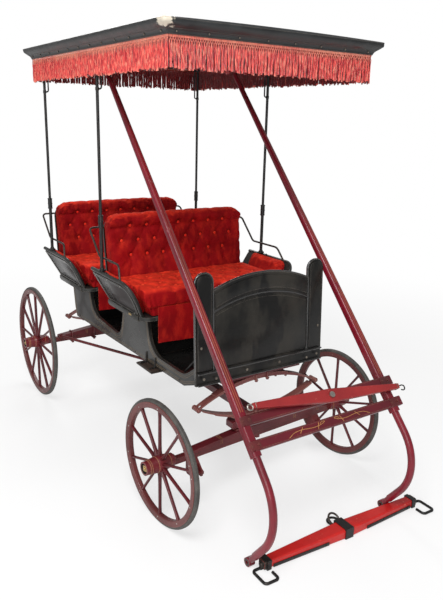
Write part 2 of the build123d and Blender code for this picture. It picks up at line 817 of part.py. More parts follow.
def seat(name, seat_y, board_z):
    """One seat on its board: seat_y is the board's front edge, board_z its top."""
    below = block(-2 * seat_half, 2 * seat_half, seat_y - overrun, seat_y + 2 * seat_length, board_z - overrun, board_z)
    board = block(-seat_half, seat_half, seat_y, seat_y + seat_length, board_z - seat_board, board_z)
    corners = board.edges().filter_by(Axis.Z).sort_by(Axis.Y)
    board = fillet(corners[:2], seat_front_round)
    board = fillet(board.edges().filter_by(Axis.Z).sort_by(Axis.Y)[-2:], seat_round)
    write(f"{name}_seat_board", board)

    plane = arm_plane(seat_y, board_z)
    arm_points = [
        (arm_foot_set, 0), (-arm_belly, arm_belly_rise), (-arm_lead, arm_slant), (seat_length - arm_tail, arm_slant),
        (seat_length - arm_setback, 0),
    ]
    arm = extrude(plane * outline(arm_points, [0, arm_belly_round, arm_shoulder, seat_round, 0]), amount=arm_panel)
    out = arm_rail_r - arm_embed
    rail_places = [
        (seat_length - arm_tail, arm_slant + out), (-arm_lead - out, arm_slant + out),
        (-arm_belly - out, arm_belly_rise), (arm_foot_set - out / 2, -arm_rail_r),
    ]
    rail_points = [plane.from_local_coords((u, v, arm_panel / 2)) for u, v in rail_places]
    arm = arm.fuse(rod(rail_points, arm_rail_r, [arm_shoulder + out, arm_belly_round + out])) - below
    write(f"{name}_seat_sides", *both(arm))

    lift = board_z + soft_gap
    back_y = seat_y + back_foot_y
    top_z = board_z + back_height

    def lean(z):
        return back_rake * (z - board_z) / back_height

    flare_z = board_z + (back_half - back_foot_half) * arm_height / arm_run
    back_front = [
        (-back_foot_half, lift), (back_foot_half, lift), (back_half, flare_z), (back_half, top_z),
        (-back_half, top_z), (-back_half, flare_z),
    ]
    back_radii = [0, 0, 0, back_corner, back_corner, 0]
    front_shape = slab_xz(back_front, back_radii, back_y - overrun, back_y + 4 * back_thick)
    roll_z = top_z - back_roll_r
    slab = slab_yz(
        [
            (back_y, lift), (back_y + back_thick, lift), (back_y + back_thick + lean(roll_z), roll_z),
            (back_y + lean(roll_z), roll_z),
        ],
        [0] * 4, -back_half, back_half,
    )
    roll = Pos(0, back_y + lean(roll_z) + back_thick - back_roll_r - back_roll_ahead, roll_z) * Rot(0, 90, 0) * Cylinder(
        back_roll_r, 2 * back_half
    )
    cushion = slab.fuse(roll) & front_shape

    pad_points = [
        (arm_foot_set + arm_pad_thick / 2, 0), (arm_pad_thick - arm_belly, arm_belly_rise),
        (arm_pad_thick - arm_lead, arm_slant + arm_pad_lift),
        (back_foot_y - arm_pad_gap, arm_slant + arm_pad_lift), (back_foot_y - arm_pad_gap, 0),
    ]
    pad_plane = plane.offset(arm_panel / 2 - arm_rail_r - arm_pad_thick - soft_gap)
    pad_outline = outline(pad_points, [0, arm_belly_round, arm_shoulder, arm_pad_thick, 0])
    pad = extrude(pad_plane * pad_outline, amount=arm_pad_thick) - Pos(0, 0, soft_gap) * below
    write(f"{name}_back_cushion", cushion, *both(pad))

    board_gap = back_y + back_thick + soft_gap
    shell = slab_yz(
        [
            (board_gap, board_z), (board_gap + back_board, board_z), (board_gap + back_board + lean(top_z), top_z),
            (board_gap + lean(top_z), top_z),
        ],
        [0] * 4, -back_half, back_half,
    )
    shell_front = [(x, board_z if z == lift else z - back_lip if z == top_z else z) for x, z in back_front]
    shell = shell & slab_xz(shell_front, back_radii, back_y - overrun, back_y + 4 * back_thick)
    write(f"{name}_back_board", shell)

    seat_front = seat_y + cushion_front
    seat_back = seat_y + back_foot_y - soft_gap
    cushion_top = lift + cushion_depth
    lip_z = lift + cushion_lip
    side_shape = slab_yz(
        [
            (seat_front, lift), (seat_front, lip_z), (seat_front - cushion_over, lip_z + cushion_over / 4),
            (seat_front - cushion_over, cushion_top), (seat_back, cushion_top), (seat_back, lift),
        ],
        [0, 0, 0, cushion_round, 0, 0], -seat_half, seat_half,
    )
    cushion_top_half = cushion_foot_half + cushion_depth * arm_run / arm_height
    front = slab_xz(
        [
            (-cushion_foot_half, lift), (cushion_foot_half, lift), (cushion_top_half, cushion_top),
            (-cushion_top_half, cushion_top),
        ],
        [0] * 4, seat_y - overrun, seat_back,
    )
    write(f"{name}_seat_cushion", side_shape & front)

    fall_y = seat_y - soft_gap
    fall = block(-fall_half, fall_half, fall_y - fall_thick, fall_y, board_z - fall_drop, lip_z)
    write(f"{name}_fall", fall)

    iron_y = back_y + back_thick + back_board + 2 * soft_gap + lean(top_z - back_lip) + iron_r
    low_iron_z = board_z + arm_height + iron_lift
    high_iron_z = low_iron_z + iron_rise
    iron_points = [
        (iron_half + iron_splay, seat_y + iron_front, board_z + arm_height - iron_kick),
        (iron_half, seat_y + iron_front + iron_lean, low_iron_z),
        (iron_half, back_y + iron_kick, low_iron_z),
        (iron_half, iron_y, high_iron_z),
        (back_half - back_corner, iron_y, high_iron_z),
    ]
    iron = (rod(iron_points, iron_r, [iron_bend, iron_bend, iron_top_bend]) - arm).solids().sort_by(SortBy.VOLUME)[-1]
    return arm, iron


front_arm, front_iron = seat("front", seat_front_y, seat_board_top)
rear_arm, rear_iron = seat("rear", seat_front_y + seat_pitch, seat_board_top - seat_fall_back)
write("seat_irons", *both(front_iron), *both(rear_iron))


# Standing top: four posts with brace rods, a railed frame with bows, the covered top and its fringe
def post(y, arm, foot_z):
    low = Pos(post_x, y, foot_z + post_foot / 2) * Cylinder(post_foot_r, post_foot)
    stem = rod_between((post_x, y, foot_z), (post_x, y, post_joint_z), post_low_r)
    joint = Pos(post_x, y, post_joint_z) * Cylinder(post_joint_r, post_joint)
    upper = rod_between((post_x, y, post_joint_z), (post_x, y, top_rail_z), post_r)
    brace_x = post_x - brace_out
    brace = rod([(post_x, y, brace_z), (brace_x, y, brace_z), (brace_x, y, top_rail_z)], brace_r, brace_out / 2)
    return low.fuse(stem, joint, upper, brace) - arm


front_foot_z = seat_board_top + arm_height + post_foot_rise
rear_foot_z = front_foot_z - seat_fall_back
write(
    "posts", *both(post(front_post_y, front_arm, front_foot_z)), *both(post(rear_post_y, rear_arm, rear_foot_z)),
)
top_length = top_rear_y - top_front_y
top_mid_y = (top_rear_y + top_front_y) / 2
frame_half = top_half - top_skin
frame_low_z = top_rail_z
frame_top_z = top_rail_z + top_rail
frame_front_y = top_front_y + top_skin
frame_rear_y = top_rear_y - top_skin
frame_outer = block(-frame_half, frame_half, frame_front_y, frame_rear_y, frame_low_z, frame_top_z)
rail_in = frame_half - top_rail_width
frame = frame_outer - block(
    -rail_in, rail_in, frame_front_y + top_rail_width, frame_rear_y - top_rail_width,
    frame_low_z - overrun, frame_top_z + overrun,
)
brim_z = top_rail_z + top_band
brim_half = top_half + top_flare
brim_front_y = top_front_y - top_flare
brim_rear_y = top_rear_y + top_flare


def crown(half, low_z, rise, y0, y1):
    """Cylindrical cap of the roof over the given half width."""
    edge = ThreePointArc((-half, low_z), (0, low_z + rise), (half, low_z)) + Line((half, low_z), (-half, low_z))
    return Pos(0, y1, 0) * extrude(Plane.XZ * make_face(edge), amount=y1 - y0)


def flared(half, y0, y1, low_z, high_z, flare):
    """Frustum that widens upward by the flare on every side."""
    middle = (y0 + y1) / 2
    low = Pos(0, middle, low_z) * Rectangle(2 * half, y1 - y0)
    high = Pos(0, middle, high_z) * Rectangle(2 * (half + flare), y1 - y0 + 2 * flare)
    return loft([low, high], ruled=True)


outer = flared(top_half, top_front_y, top_rear_y, top_rail_z, brim_z, top_flare)
outer = outer.fuse(crown(brim_half, brim_z, top_crown, brim_front_y, brim_rear_y))
inner_flare = top_flare * (top_band - top_skin) / top_band
inner_z = brim_z - top_skin
inner = flared(frame_half, frame_front_y, frame_rear_y, top_rail_z, inner_z, inner_flare)
cap_half = frame_half + inner_flare
inner = inner.fuse(crown(cap_half, inner_z, top_crown, frame_front_y - inner_flare, frame_rear_y + inner_flare))
top_shell = outer - inner
write("top_cover", top_shell)
bow_pitch = (frame_rear_y - frame_front_y) / (bows + 1)
for number in range(1, bows + 1):
    y = frame_front_y + number * bow_pitch
    solid = block(-frame_half, frame_half, y - bow_width / 2, y + bow_width / 2, frame_top_z, inner_z).fuse(
        crown(cap_half, inner_z, top_crown, y - bow_width / 2, y + bow_width / 2)
        & block(-frame_half, frame_half, y - bow_width, y + bow_width, inner_z, brim_z + top_crown)
    )
    hollow_half = rail_in - overrun
    hollow = block(
        -hollow_half, hollow_half, y - bow_width, y + bow_width, frame_top_z - overrun, inner_z - bow_depth
    ).fuse(
        crown(cap_half, inner_z - bow_depth, top_crown, y - bow_width, y + bow_width)
        & block(-hollow_half, hollow_half, y - bow_width, y + bow_width, inner_z - bow_depth, brim_z + top_crown)
    )
    frame = frame.fuse(solid - hollow)
write("top_frame", frame)
fringe_low_z = top_rail_z - fringe_drop
fringe_side = block(top_half - fringe_thick, top_half, top_front_y, top_rear_y, fringe_low_z, top_rail_z)
fringe_end_half = top_half - fringe_thick - soft_gap
fringe_front = block(-fringe_end_half, fringe_end_half, top_front_y, top_front_y + fringe_thick, fringe_low_z, top_rail_z)
fringe_rear = block(-fringe_end_half, fringe_end_half, top_rear_y - fringe_thick, top_rear_y, fringe_low_z, top_rail_z)
write("fringe", *both(fringe_side), fringe_front, fringe_rear)

# Shafts: a round bent heel under a straight square shaft that tapers to the tip
rise = Vector(0, shaft_top_y - shaft_low_y, shaft_top_z - shaft_low_z)
along = rise.normalized()
outward = Vector(0, -along.Z, along.Y)
low_point = Vector(shaft_x, shaft_low_y, shaft_low_z)


def shaft_face(at, width, corner):
    frame_at = Plane(origin=low_point + along * at, x_dir=(1, 0, 0), z_dir=along)
    return frame_at * RectangleRounded(width, width, corner)


heel = (shaft_x, shaft_heel_y, shaft_heel_r)
knee = low_point - along * shaft_knee
heel_end = Vector(heel) + (knee - Vector(heel)).normalized() * heel_neck
bent = rod([heel_end, knee, low_point], heel_r, shaft_knee_r)
neck = rod_between(heel, heel_end, heel_neck_r)
boss = Pos(heel) * Rot(0, 90, 0) * Cylinder(shaft_heel_r, heel_eye_width)
eye = Pos(heel) * Rot(0, 90, 0) * Cylinder(heel_eye_r, heel_eye_width + overrun)
square = extrude(shaft_face(-shaft_foot, shaft_square, shaft_corner), amount=shaft_foot + shaft_taper_start, dir=along)
taper = loft(
    [
        shaft_face(shaft_taper_start, shaft_square, shaft_corner),
        shaft_face(rise.length, shaft_tip, shaft_tip_corner),
    ],
    ruled=True,
)
shaft = square.fuse(taper, bent, neck, boss) - eye
write("shafts", *both(shaft))
bars = []
bar_seat = shaft_square / 2 + crossbar_proud - crossbar_thick
for seat_at in crossbar_seats:
    centre = Vector((crossbar_left - crossbar_right) / 2, shaft_low_y, shaft_low_z) + along * seat_at + outward * bar_seat
    frame_at = Plane(origin=centre, x_dir=(1, 0, 0), z_dir=outward)
    bar = extrude(Rectangle(crossbar_left + crossbar_right, crossbar), amount=crossbar_thick)
    bar = fillet(bar.edges().filter_by(Axis.X), crossbar_round)
    bars.append(frame_at * bar - shaft - mirrored(shaft))
write("crossbars", *bars)


# Swingletree, bolted on the upper crossbar
def tapered_bar(half, mid, end, thick, end_thick, corner):
    """Bar along X, widest in the middle."""
    middle = Plane.YZ * RectangleRounded(mid, thick, corner)
    tip_face = Plane.YZ.offset(half) * RectangleRounded(end, end_thick, corner * end / mid)
    arm = loft([middle, tip_face], ruled=True)
    return arm.fuse(mirrored(arm))


tree_offset = shaft_square / 2 + crossbar_proud + tree_gap + tree_thick / 2
tree_centre = Vector(tree_mid_x, shaft_low_y, shaft_low_z) + along * crossbar_seats[1] + outward * tree_offset
tree_frame = Plane(origin=tree_centre, x_dir=(1, 0, 0), z_dir=outward)
tree = tapered_bar(tree_half, tree_mid, tree_end, tree_thick, tree_thick, tree_corner)
tree_hole = Cylinder(tree_bolt_r + running_gap, tree_thick + overrun)
write("swingletree", tree_frame * Rot(0, 0, -tree_turn) * (tree - tree_hole))
tree_spacer = tree_gap - running_gap
tree_pin = Cylinder(tree_bolt_r, tree_thick + 2 * running_gap)
tree_bolt = Pos(0, 0, tree_thick / 2 + running_gap + tree_bolt_head / 2) * Cylinder(tree_bolt_head_r, tree_bolt_head)
tree_washer = Pos(0, 0, -tree_thick / 2 - running_gap - tree_spacer / 2) * Cylinder(tree_bolt_head_r, tree_spacer)
write("swingletree_bolt", tree_frame * tree_pin.fuse(tree_bolt, tree_washer))

# Loose singletree lying on the floor, with its clip, ring, end straps and hooks
on_floor = Pos(bar_mid_x, bar_mid_y, bar_thick / 2) * Rot(0, 0, bar_turn)
loose = tapered_bar(bar_half, bar_mid_width, bar_end_width, bar_thick, bar_end_thick, bar_round)
clip = block(-clip_width / 2, clip_width / 2, -bar_mid_width / 2 - clip_thick, bar_mid_width / 2 + clip_thick,
             -bar_thick / 2 + clip_thick, bar_thick / 2 + clip_thick)
clip = clip - loose
ring = Pos(0, bar_mid_width / 2 + clip_thick + ring_r, 0) * Torus(ring_r, ring_wire)
clip = clip.fuse(ring - loose)
irons = [clip]
for side in (-1, 1):
    strap = Pos(side * (bar_half - strap_width), 0, 0) * Box(
        strap_width, bar_end_width + 3 * clip_thick, bar_end_thick + 2 * clip_thick
    )
    strap = strap - loose
    hook_z = -bar_thick / 2 + hook_wire
    hook_points = [
        (side * (bar_half + clip_thick), 0, hook_z),
        (side * (bar_half + hook_span), 0, hook_z),
        (side * (bar_half + hook_span), -hook_length, hook_z),
        (side * (bar_half - hook_span / 2), -hook_length, hook_z),
        (side * (bar_half - hook_span / 2), -hook_length / 2, hook_z),
    ]
    hook = rod(hook_points, hook_wire, [hook_round] * 3)
    neck = block(side * (bar_half - strap_width), side * (bar_half + 2 * clip_thick), -hook_wire, hook_wire,
                 -bar_thick / 2, 0)
    irons.append(strap.fuse(hook, neck - loose))
write("singletree", on_floor * loose)
write("singletree_irons", *[on_floor * piece for piece in irons])
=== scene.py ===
import math
import random
from functools import partialmethod

import bmesh
import bpy
from bmesh.types import BMEdge, BMFace, BMVert
from mathutils import Matrix, Vector, noise
from mathutils.bvhtree import BVHTree


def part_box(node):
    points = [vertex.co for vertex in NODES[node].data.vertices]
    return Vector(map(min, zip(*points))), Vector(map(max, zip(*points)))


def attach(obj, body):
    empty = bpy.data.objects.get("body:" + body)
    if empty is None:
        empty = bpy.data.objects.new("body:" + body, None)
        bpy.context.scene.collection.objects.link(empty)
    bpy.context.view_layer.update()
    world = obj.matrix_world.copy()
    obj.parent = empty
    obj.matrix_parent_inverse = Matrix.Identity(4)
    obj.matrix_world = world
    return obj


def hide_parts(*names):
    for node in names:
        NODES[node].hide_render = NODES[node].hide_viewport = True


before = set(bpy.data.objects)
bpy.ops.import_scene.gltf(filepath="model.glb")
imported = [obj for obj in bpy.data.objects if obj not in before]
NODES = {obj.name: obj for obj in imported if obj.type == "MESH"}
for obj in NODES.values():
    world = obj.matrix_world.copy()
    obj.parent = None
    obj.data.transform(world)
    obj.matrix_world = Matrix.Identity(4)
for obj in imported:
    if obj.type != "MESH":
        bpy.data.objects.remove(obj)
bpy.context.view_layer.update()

bl_info = {
    "name": "Fringed surrey",
    "version": (1, 0, 0),
    "blender": (4, 5, 0),
    "location": "View3D > Sidebar > Surrey",
    "description": "Dresses a packed surrey: wheels, springs, coach body, velvet seats, top and fringe",
    "category": "Add Mesh",
}

UP = Vector((0, 0, 1))
IDENTITY = Matrix.Identity(4)
QUARTER_TURN = math.pi / 2

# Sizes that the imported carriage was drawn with, in metres, from the floor under the front axle's middle
WHEEL_BASE = 1.661
TRACK = 1.153
REAR_RADIUS = 0.360
FRONT_RADIUS = 0.300
REST_STEER = math.radians(4.0)
MIDDLE_Y = WHEEL_BASE + REAR_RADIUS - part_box("tyre_rear_left")[1][1]
SEATS = (
    # name, front edge of the board, height of the board
    ("front", 0.420, 0.832),
    ("rear", 1.185, 0.805),
)
ARM_FOOT_X, ARM_TOP_X, ARM_HEIGHT = 0.400, 0.510, 0.186
ARM_SLANT = math.hypot(ARM_TOP_X - ARM_FOOT_X, ARM_HEIGHT)
SHAFT_X = 0.4013
SHAFT_LOW = Vector((0, -0.500, 0.540))
SHAFT_TOP = Vector((0, 0.868, 2.052))
ALONG = (SHAFT_TOP - SHAFT_LOW).normalized()
OUTWARD = Vector((0, -ALONG.z, ALONG.y))
CROSSBARS = (0.008, 0.113)
DASH_Y, DASH_LOW, DASH_LEAN = -0.022, 0.621, math.atan2(0.026, 0.525)
TOP_HALF, TOP_FRONT, TOP_REAR, TOP_RAIL = 0.545, -0.049, 1.563, 2.111
TOP_MIDDLE, TOP_HALF_Y = (TOP_REAR + TOP_FRONT) / 2, (TOP_REAR - TOP_FRONT) / 2
TOP_BAND, TOP_FLARE = 0.052, 0.042
POST_X = 0.515
FRINGE_DROP = 0.133
CORNERS = (
    # name, radius, spokes, axle, side
    ("front_right", FRONT_RADIUS, 10, 0.0, -1),
    ("front_left", FRONT_RADIUS, 10, 0.0, 1),
    ("rear_right", REAR_RADIUS, 12, WHEEL_BASE, -1),
    ("rear_left", REAR_RADIUS, 12, WHEEL_BASE, 1),
)


# Shader maths as plain expressions
class Value:
    """The output of one node, with arithmetic that adds Math nodes."""

    def __init__(self, nodes, socket):
        self.nodes = nodes
        self.socket = socket

    def math(self, operation, *others):
        return self.nodes.node("ShaderNodeMath", {"operation": operation}, dict(enumerate((self, *others))))

    __add__ = __radd__ = partialmethod(math, "ADD")
    __sub__ = partialmethod(math, "SUBTRACT")
    __mul__ = __rmul__ = partialmethod(math, "MULTIPLY")
    __abs__ = partialmethod(math, "ABSOLUTE")
    above = partialmethod(math, "GREATER_THAN")
    most = partialmethod(math, "MAXIMUM")

    def __rsub__(self, other):
        return (self * -1.0).math("ADD", other)

    def ramp(self, low, high, to_low=0.0, to_high=1.0):
        """A smooth step from low to high."""
        values = {"Value": self, "From Min": low, "From Max": high, "To Min": to_low, "To Max": to_high}
        return self.nodes.node("ShaderNodeMapRange", {"interpolation_type": "SMOOTHSTEP"}, values)


class Nodes:
    """A node tree, and the way to add to it."""

    def __init__(self, tree):
        self.tree = tree

    def node(self, kind, settings, values, output=0):
        """One node: its type, its settings, and the values or links of its sockets."""
        node = self.tree.nodes.new(kind)
        for label, value in settings.items():
            setattr(node, label, value)
        for label, value in values.items():
            if isinstance(value, Value):
                self.link(value, node.inputs[label])
            else:
                node.inputs[label].default_value = value
        return Value(self, node.outputs[output])

    def link(self, value, socket):
        self.tree.links.new(value.socket, socket)


class Paint(Nodes):
    """One material, built round its Principled shader."""

    def __init__(self, name, **constants):
        self.material = bpy.data.materials.new(name)
        self.material.use_nodes = True
        super().__init__(self.material.node_tree)
        self.shader = self.tree.nodes["Principled BSDF"]
        for label, value in constants.items():
            self.shader.inputs[label.replace("_", " ")].default_value = value
        self.place = self.node("ShaderNodeTexCoord", {}, {}, "Object")

    def axes(self, place=None):
        split = self.node("ShaderNodeSeparateXYZ", {}, {0: place or self.place})
        return [Value(self, output) for output in split.socket.node.outputs]

    def normal(self):
        return self.node("ShaderNodeNewGeometry", {}, {}, "Normal")

    def vector(self, operation, *values):
        """Vector maths that gives a number."""
        return self.node("ShaderNodeVectorMath", {"operation": operation}, dict(enumerate(values)), "Value")

    def mapped(self, **sockets):
        return self.node("ShaderNodeMapping", {}, {0: self.place, **sockets})

    def noise(self, scale, detail=4.0, rough=0.55, place=None, twist=0.0):
        values = {"Scale": scale, "Detail": detail, "Roughness": rough, "Distortion": twist}
        return self.node("ShaderNodeTexNoise", {}, {"Vector": place or self.place, **values}, "Fac")

    def cells(self, scale, feature="F1"):
        values = {"Vector": self.place, "Scale": scale}
        return self.node("ShaderNodeTexVoronoi", {"feature": feature}, values, "Distance")

    def mix(self, factor, first, second):
        colours = {6: self.colour(first), 7: self.colour(second)}
        return self.node("ShaderNodeMix", {"data_type": "RGBA"}, {0: factor, **colours}, 2)

    @staticmethod
    def colour(value):
        """A socket or a linear colour as it is; three numbers are a colour as read on the screen."""
        return value if isinstance(value, Value) or len(value) == 4 else srgb(*value)

    def edges(self, radius):
        """0 on flat ground, rising to 1 where the surface turns within the radius."""
        soft = self.node("ShaderNodeBevel", {"samples": 4}, {"Radius": radius})
        return (1.0 - self.vector("DOT_PRODUCT", soft, self.normal())).ramp(0.01, 0.16)

    def done(self, colour, rough, height, distance, strength):
        """Links the colour, the roughness and the bump, and gives the material."""
        bump = self.node("ShaderNodeBump", {}, {"Height": height, "Distance": distance, "Strength": strength})
        for label, value in (("Base Color", colour), ("Roughness", rough), ("Normal", bump)):
            self.link(value, self.shader.inputs[label])
        return self.material


def srgb(*levels):
    """A colour as it is read on the screen, from 0 to 255, in linear light."""
    shares = [level / 255.0 for level in levels]
    linear = [share / 12.92 if share <= 0.04045 else ((share + 0.055) / 1.055) ** 2.4 for share in shares]
    return (*linear, 1.0)


def brighter(colour, factor, lift=0.0):
    """A linear colour times the factor, with a little white added."""
    return (*[min(1.0, value * factor + lift) for value in srgb(*colour)[:3]], 1.0)


# Finishes
def lacquer(name, base, shade, worn, wear=0.5, rough=0.34, edge=0.0018):
    """Old carriage paint: uneven colour, dull patches, chips, and wear along the edges."""
    paint = Paint(name, Coat_Weight=0.2, Coat_Roughness=0.14, Specular_IOR_Level=0.35)
    cloud = paint.noise(5.0, 5.0, 0.6).ramp(0.3, 0.72)
    colour = paint.mix(cloud, base, shade)
    streak = paint.noise(26.0, 6.0, 0.7)
    rubbed = (paint.edges(edge) * (0.35 + streak)).ramp(0.42, 0.72) * wear
    colour = paint.mix(rubbed, colour, worn)
    chips = (paint.noise(95.0, 3.0, 0.6) * 0.6 + paint.noise(11.0, 2.0) * 0.4).ramp(0.64, 0.67) * wear
    colour = paint.mix(chips, colour, worn)
    shine = rough + cloud * 0.14 + rubbed * 0.25 + streak * 0.08
    return paint.done(colour, shine, paint.noise(60.0, 5.0, 0.6) * 0.5 + chips * -0.6, 0.0006, 0.6)


def striped(name, base, shade, worn, line):
    """Shaft paint with a pair of ochre lines down its front face and long rubbed streaks."""
    paint = Paint(name, Coat_Weight=0.25, Coat_Roughness=0.12, Specular_IOR_Level=0.35)
    x, y, z = paint.axes()
    sideways = abs(abs(x) - SHAFT_X)
    out, run = (
        (y + (MIDDLE_Y - SHAFT_LOW.y)) * axis.y + (z - SHAFT_LOW.z) * axis.z for axis in (OUTWARD, ALONG)
    )
    front = out.above(0.0085) * abs(x).ramp(0.36, 0.361)
    pair = abs(sideways - 0.0052).ramp(0.0012, 0.0005) * front
    pair = pair * run.ramp(0.150, 0.152) * run.ramp(1.3, 0.5, 0.3, 1.0)
    dashed = paint.noise(9.0, 3.0, 0.6).ramp(0.25, 0.36)
    streak = paint.noise(3.0, 6.0, 0.7, paint.mapped(Scale=(60.0, 5.0, 5.0)))
    cloud = paint.noise(6.0, 4.0).ramp(0.3, 0.7)
    colour = paint.mix(cloud, base, shade)
    rubbed = (paint.edges(0.0022) * (0.3 + streak)).ramp(0.5, 0.8) * 0.6
    colour = paint.mix(rubbed, colour, worn)
    colour = paint.mix(pair * dashed * 0.7, colour, line)
    white = (streak * 0.7 + paint.noise(18.0, 2.0) * 0.3).ramp(0.62, 0.66) * front
    colour = paint.mix(white * 0.7, colour, (215, 180, 170))
    return paint.done(colour, 0.3 + streak * 0.2 + rubbed * 0.2, streak + pair * 0.5, 0.0006, 0.5)


def velvet(name, base, deep, bright):
    """Cut pile: broad soft patches of deeper colour at random, painted shade where it is drawn in, and a painted
    highlight where it faces up.
    """
    paint = Paint(name, Sheen_Weight=0.3, Sheen_Roughness=0.3, Sheen_Tint=srgb(255, 110, 70),
                  Specular_IOR_Level=0.1)
    lie = paint.noise(5.0, 3.0, 0.5).ramp(0.3, 0.7)
    brushed = paint.noise(24.0, 3.0, 0.55, paint.mapped(Scale=(1.0, 1.0, 0.5))).ramp(0.42, 0.72)
    colour = paint.mix(lie * 0.6, base, deep)
    colour = paint.mix(brushed * 0.22, colour, bright)
    # Painted highlight: the velvet turns paler on faces that look up, as if lit from above.
    painted_top_light = paint.axes(paint.normal())[2].ramp(0.3, 1.0)
    colour = paint.mix(painted_top_light * (0.5 + brushed * 0.4), colour, bright)
    # Painted shade: the velvet is darkened where the buttons draw it in, as the dimples would lie in shadow.
    drawn_in_shade = paint.node("ShaderNodeAttribute", {"attribute_name": "drawn_in_shade"}, {}, "Fac")
    colour = paint.mix(drawn_in_shade.ramp(0.1, 1.0) * 0.45, colour, brighter(deep, 0.6))
    lint = paint.cells(240.0).ramp(0.06, 0.03) * paint.noise(30.0).ramp(0.64, 0.7)
    colour = paint.mix(lint * 0.3, colour, (245, 160, 120))
    shine = 0.74 + lie * 0.14
    return paint.done(colour, shine, paint.noise(700.0, 2.0) * 0.5 + paint.noise(90.0, 3.0) * 0.5, 0.0010, 0.4)


def leather(name, base, faded, rough, grain, smear, coat=0.14, gloss=0.16, bare=None):
    """Black finished leather: fine pebble grain, faded patches, rubbed smears and a corner worn bare."""
    paint = Paint(name, Coat_Weight=coat, Coat_Roughness=gloss, Specular_IOR_Level=0.22 + coat * 0.3)
    clouds = paint.noise(4.5, 5.0, 0.62, paint.mapped(Scale=(1.0, 1.0, 0.55))).ramp(0.36, 0.66)
    slanted = paint.mapped(Scale=(2.4, 1.0, 0.9), Rotation=(0, 0.35, 0))
    smears = paint.noise(3.2, 3.0, 0.5, slanted).ramp(0.52, 0.60)
    colour = paint.mix(clouds, base, faded)
    colour = paint.mix(smears * smear, colour, (8, 8, 8))
    rubbed = (paint.edges(0.003) * (0.4 + paint.noise(40.0, 4.0))).ramp(0.5, 0.8) * 0.5
    colour = paint.mix(rubbed, colour, (120, 112, 104))
    if bare:
        away = paint.vector("DISTANCE", paint.place, bare)
        flaked = (paint.noise(34.0, 6.0, 0.7) * 0.9 - away * 6.5).ramp(0.13, 0.20)
        colour = paint.mix(flaked * 0.9, colour, (214, 204, 186))
    shine = rough + clouds * 0.16 - smears * 0.06 + paint.noise(14.0, 4.0) * 0.1
    pebbles = paint.cells(420.0 / grain, "SMOOTH_F1").ramp(0.0, 0.6)
    return paint.done(colour, shine, pebbles * 0.5 + paint.noise(26.0, 5.0) * 0.8, 0.0009 * grain, 0.45)


def metal(name, base, spots, metallic, rough):
    """Handled metal: darker spots and a slightly uneven polish."""
    paint = Paint(name, Metallic=metallic)
    patch = paint.noise(45.0, 5.0, 0.65).ramp(0.45, 0.7) * 0.5
    colour = paint.mix(patch, base, spots)
    rubbed = paint.edges(0.002) * paint.noise(60.0).ramp(0.4, 0.6) * 0.6
    colour = paint.mix(rubbed, colour, brighter(base, 2.2, 0.04))
    shine = rough + patch * 0.3 + paint.noise(120.0) * 0.1
    return paint.done(colour, shine, paint.noise(160.0, 4.0), 0.0005, 0.5)


def rubber(name):
    """Old grey rubber, dusty, with fine scuffs round it."""
    paint = Paint(name, Specular_IOR_Level=0.35)
    dust = paint.noise(14.0, 5.0, 0.65).ramp(0.35, 0.7)
    colour = paint.mix(dust, (60, 58, 56), (84, 81, 77))
    scuff = paint.noise(150.0, 4.0, 0.7).ramp(0.5, 0.72)
    colour = paint.mix(scuff * 0.22, colour, (136, 131, 122))
    return paint.done(colour, 0.52 + dust * 0.2, scuff + paint.noise(40.0) * 0.6, 0.0006, 0.6)


def coach_black(name, base, dull, worn, rough=0.22, wear=0.6, coat=0.22, shine=0.22):
    """Coach varnish over black: cloudy, crazed in places, worn brown along the board edges."""
    paint = Paint(name, Coat_Weight=coat, Coat_Roughness=0.08, Specular_IOR_Level=shine)
    cloud = paint.noise(3.4, 5.0, 0.6).ramp(0.34, 0.68)
    colour = paint.mix(cloud, base, dull)
    rubbed = (paint.edges(0.003) * (0.35 + paint.noise(34.0, 5.0, 0.7))).ramp(0.4, 0.72) * wear
    colour = paint.mix(rubbed, colour, worn)
    specks = (paint.noise(130.0, 3.0) * 0.6 + paint.noise(9.0) * 0.4).ramp(0.64, 0.69) * wear
    colour = paint.mix(specks * 0.5, colour, (104, 96, 86))
    dullness = rough + cloud * 0.2 + rubbed * 0.3
    return paint.done(colour, dullness, paint.noise(30.0, 5.0, 0.6) * 0.7 + specks * -0.5, 0.0006, 0.5)


def silk(name, base, pale, deep):
    """Fringe silk: pale and dusty at its heading, richer lower down, with a painted highlight on the cord ends,
    each cord a little different.
    """
    paint = Paint(name, Sheen_Weight=0.4, Sheen_Roughness=0.4, Specular_IOR_Level=0.2)
    height = paint.axes()[2]
    low_z = TOP_RAIL - FRINGE_DROP
    cords = paint.noise(1.0, 2.0, 0.6, paint.mapped(Scale=(210.0, 210.0, 22.0))).ramp(0.40, 0.60)
    faded = paint.noise(3.0, 3.0).ramp(0.35, 0.7)
    elsewhere = paint.mapped(Scale=(150.0, 150.0, 34.0), Location=(3, 3, 3))
    light = paint.noise(1.0, 2.0, 0.6, elsewhere).ramp(0.52, 0.66)
    colour = paint.mix(cords, base, deep)
    colour = paint.mix(light * 0.5, colour, pale)
    colour = paint.mix(height.ramp(TOP_RAIL - 0.040, TOP_RAIL - 0.012) * (0.25 + faded * 0.4), colour, pale)
    # Painted highlight: the cords turn pale over their last 16 mm, down to their ends.
    colour = paint.mix(height.ramp(low_z + 0.016, low_z) * 0.4, colour, pale)
    shine = 0.75 + faded * 0.1
    ply = paint.node(
        "ShaderNodeTexWave", {"bands_direction": "DIAGONAL"}, {"Vector": paint.place, "Scale": 260.0}, "Fac",
    )
    return paint.done(colour, shine, ply, 0.0006, 0.6)


def wood(name, base, dark):
    """Plain varnished ash under the top, with its grain along the carriage."""
    paint = Paint(name, Coat_Weight=0.2, Coat_Roughness=0.3)
    grain = paint.noise(4.0, 6.0, 0.65, paint.mapped(Scale=(34.0, 3.0, 34.0)), 0.6)
    return paint.done(paint.mix(grain.ramp(0.3, 0.7), base, dark), 0.42 + grain * 0.2, grain, 0.0006, 0.5)


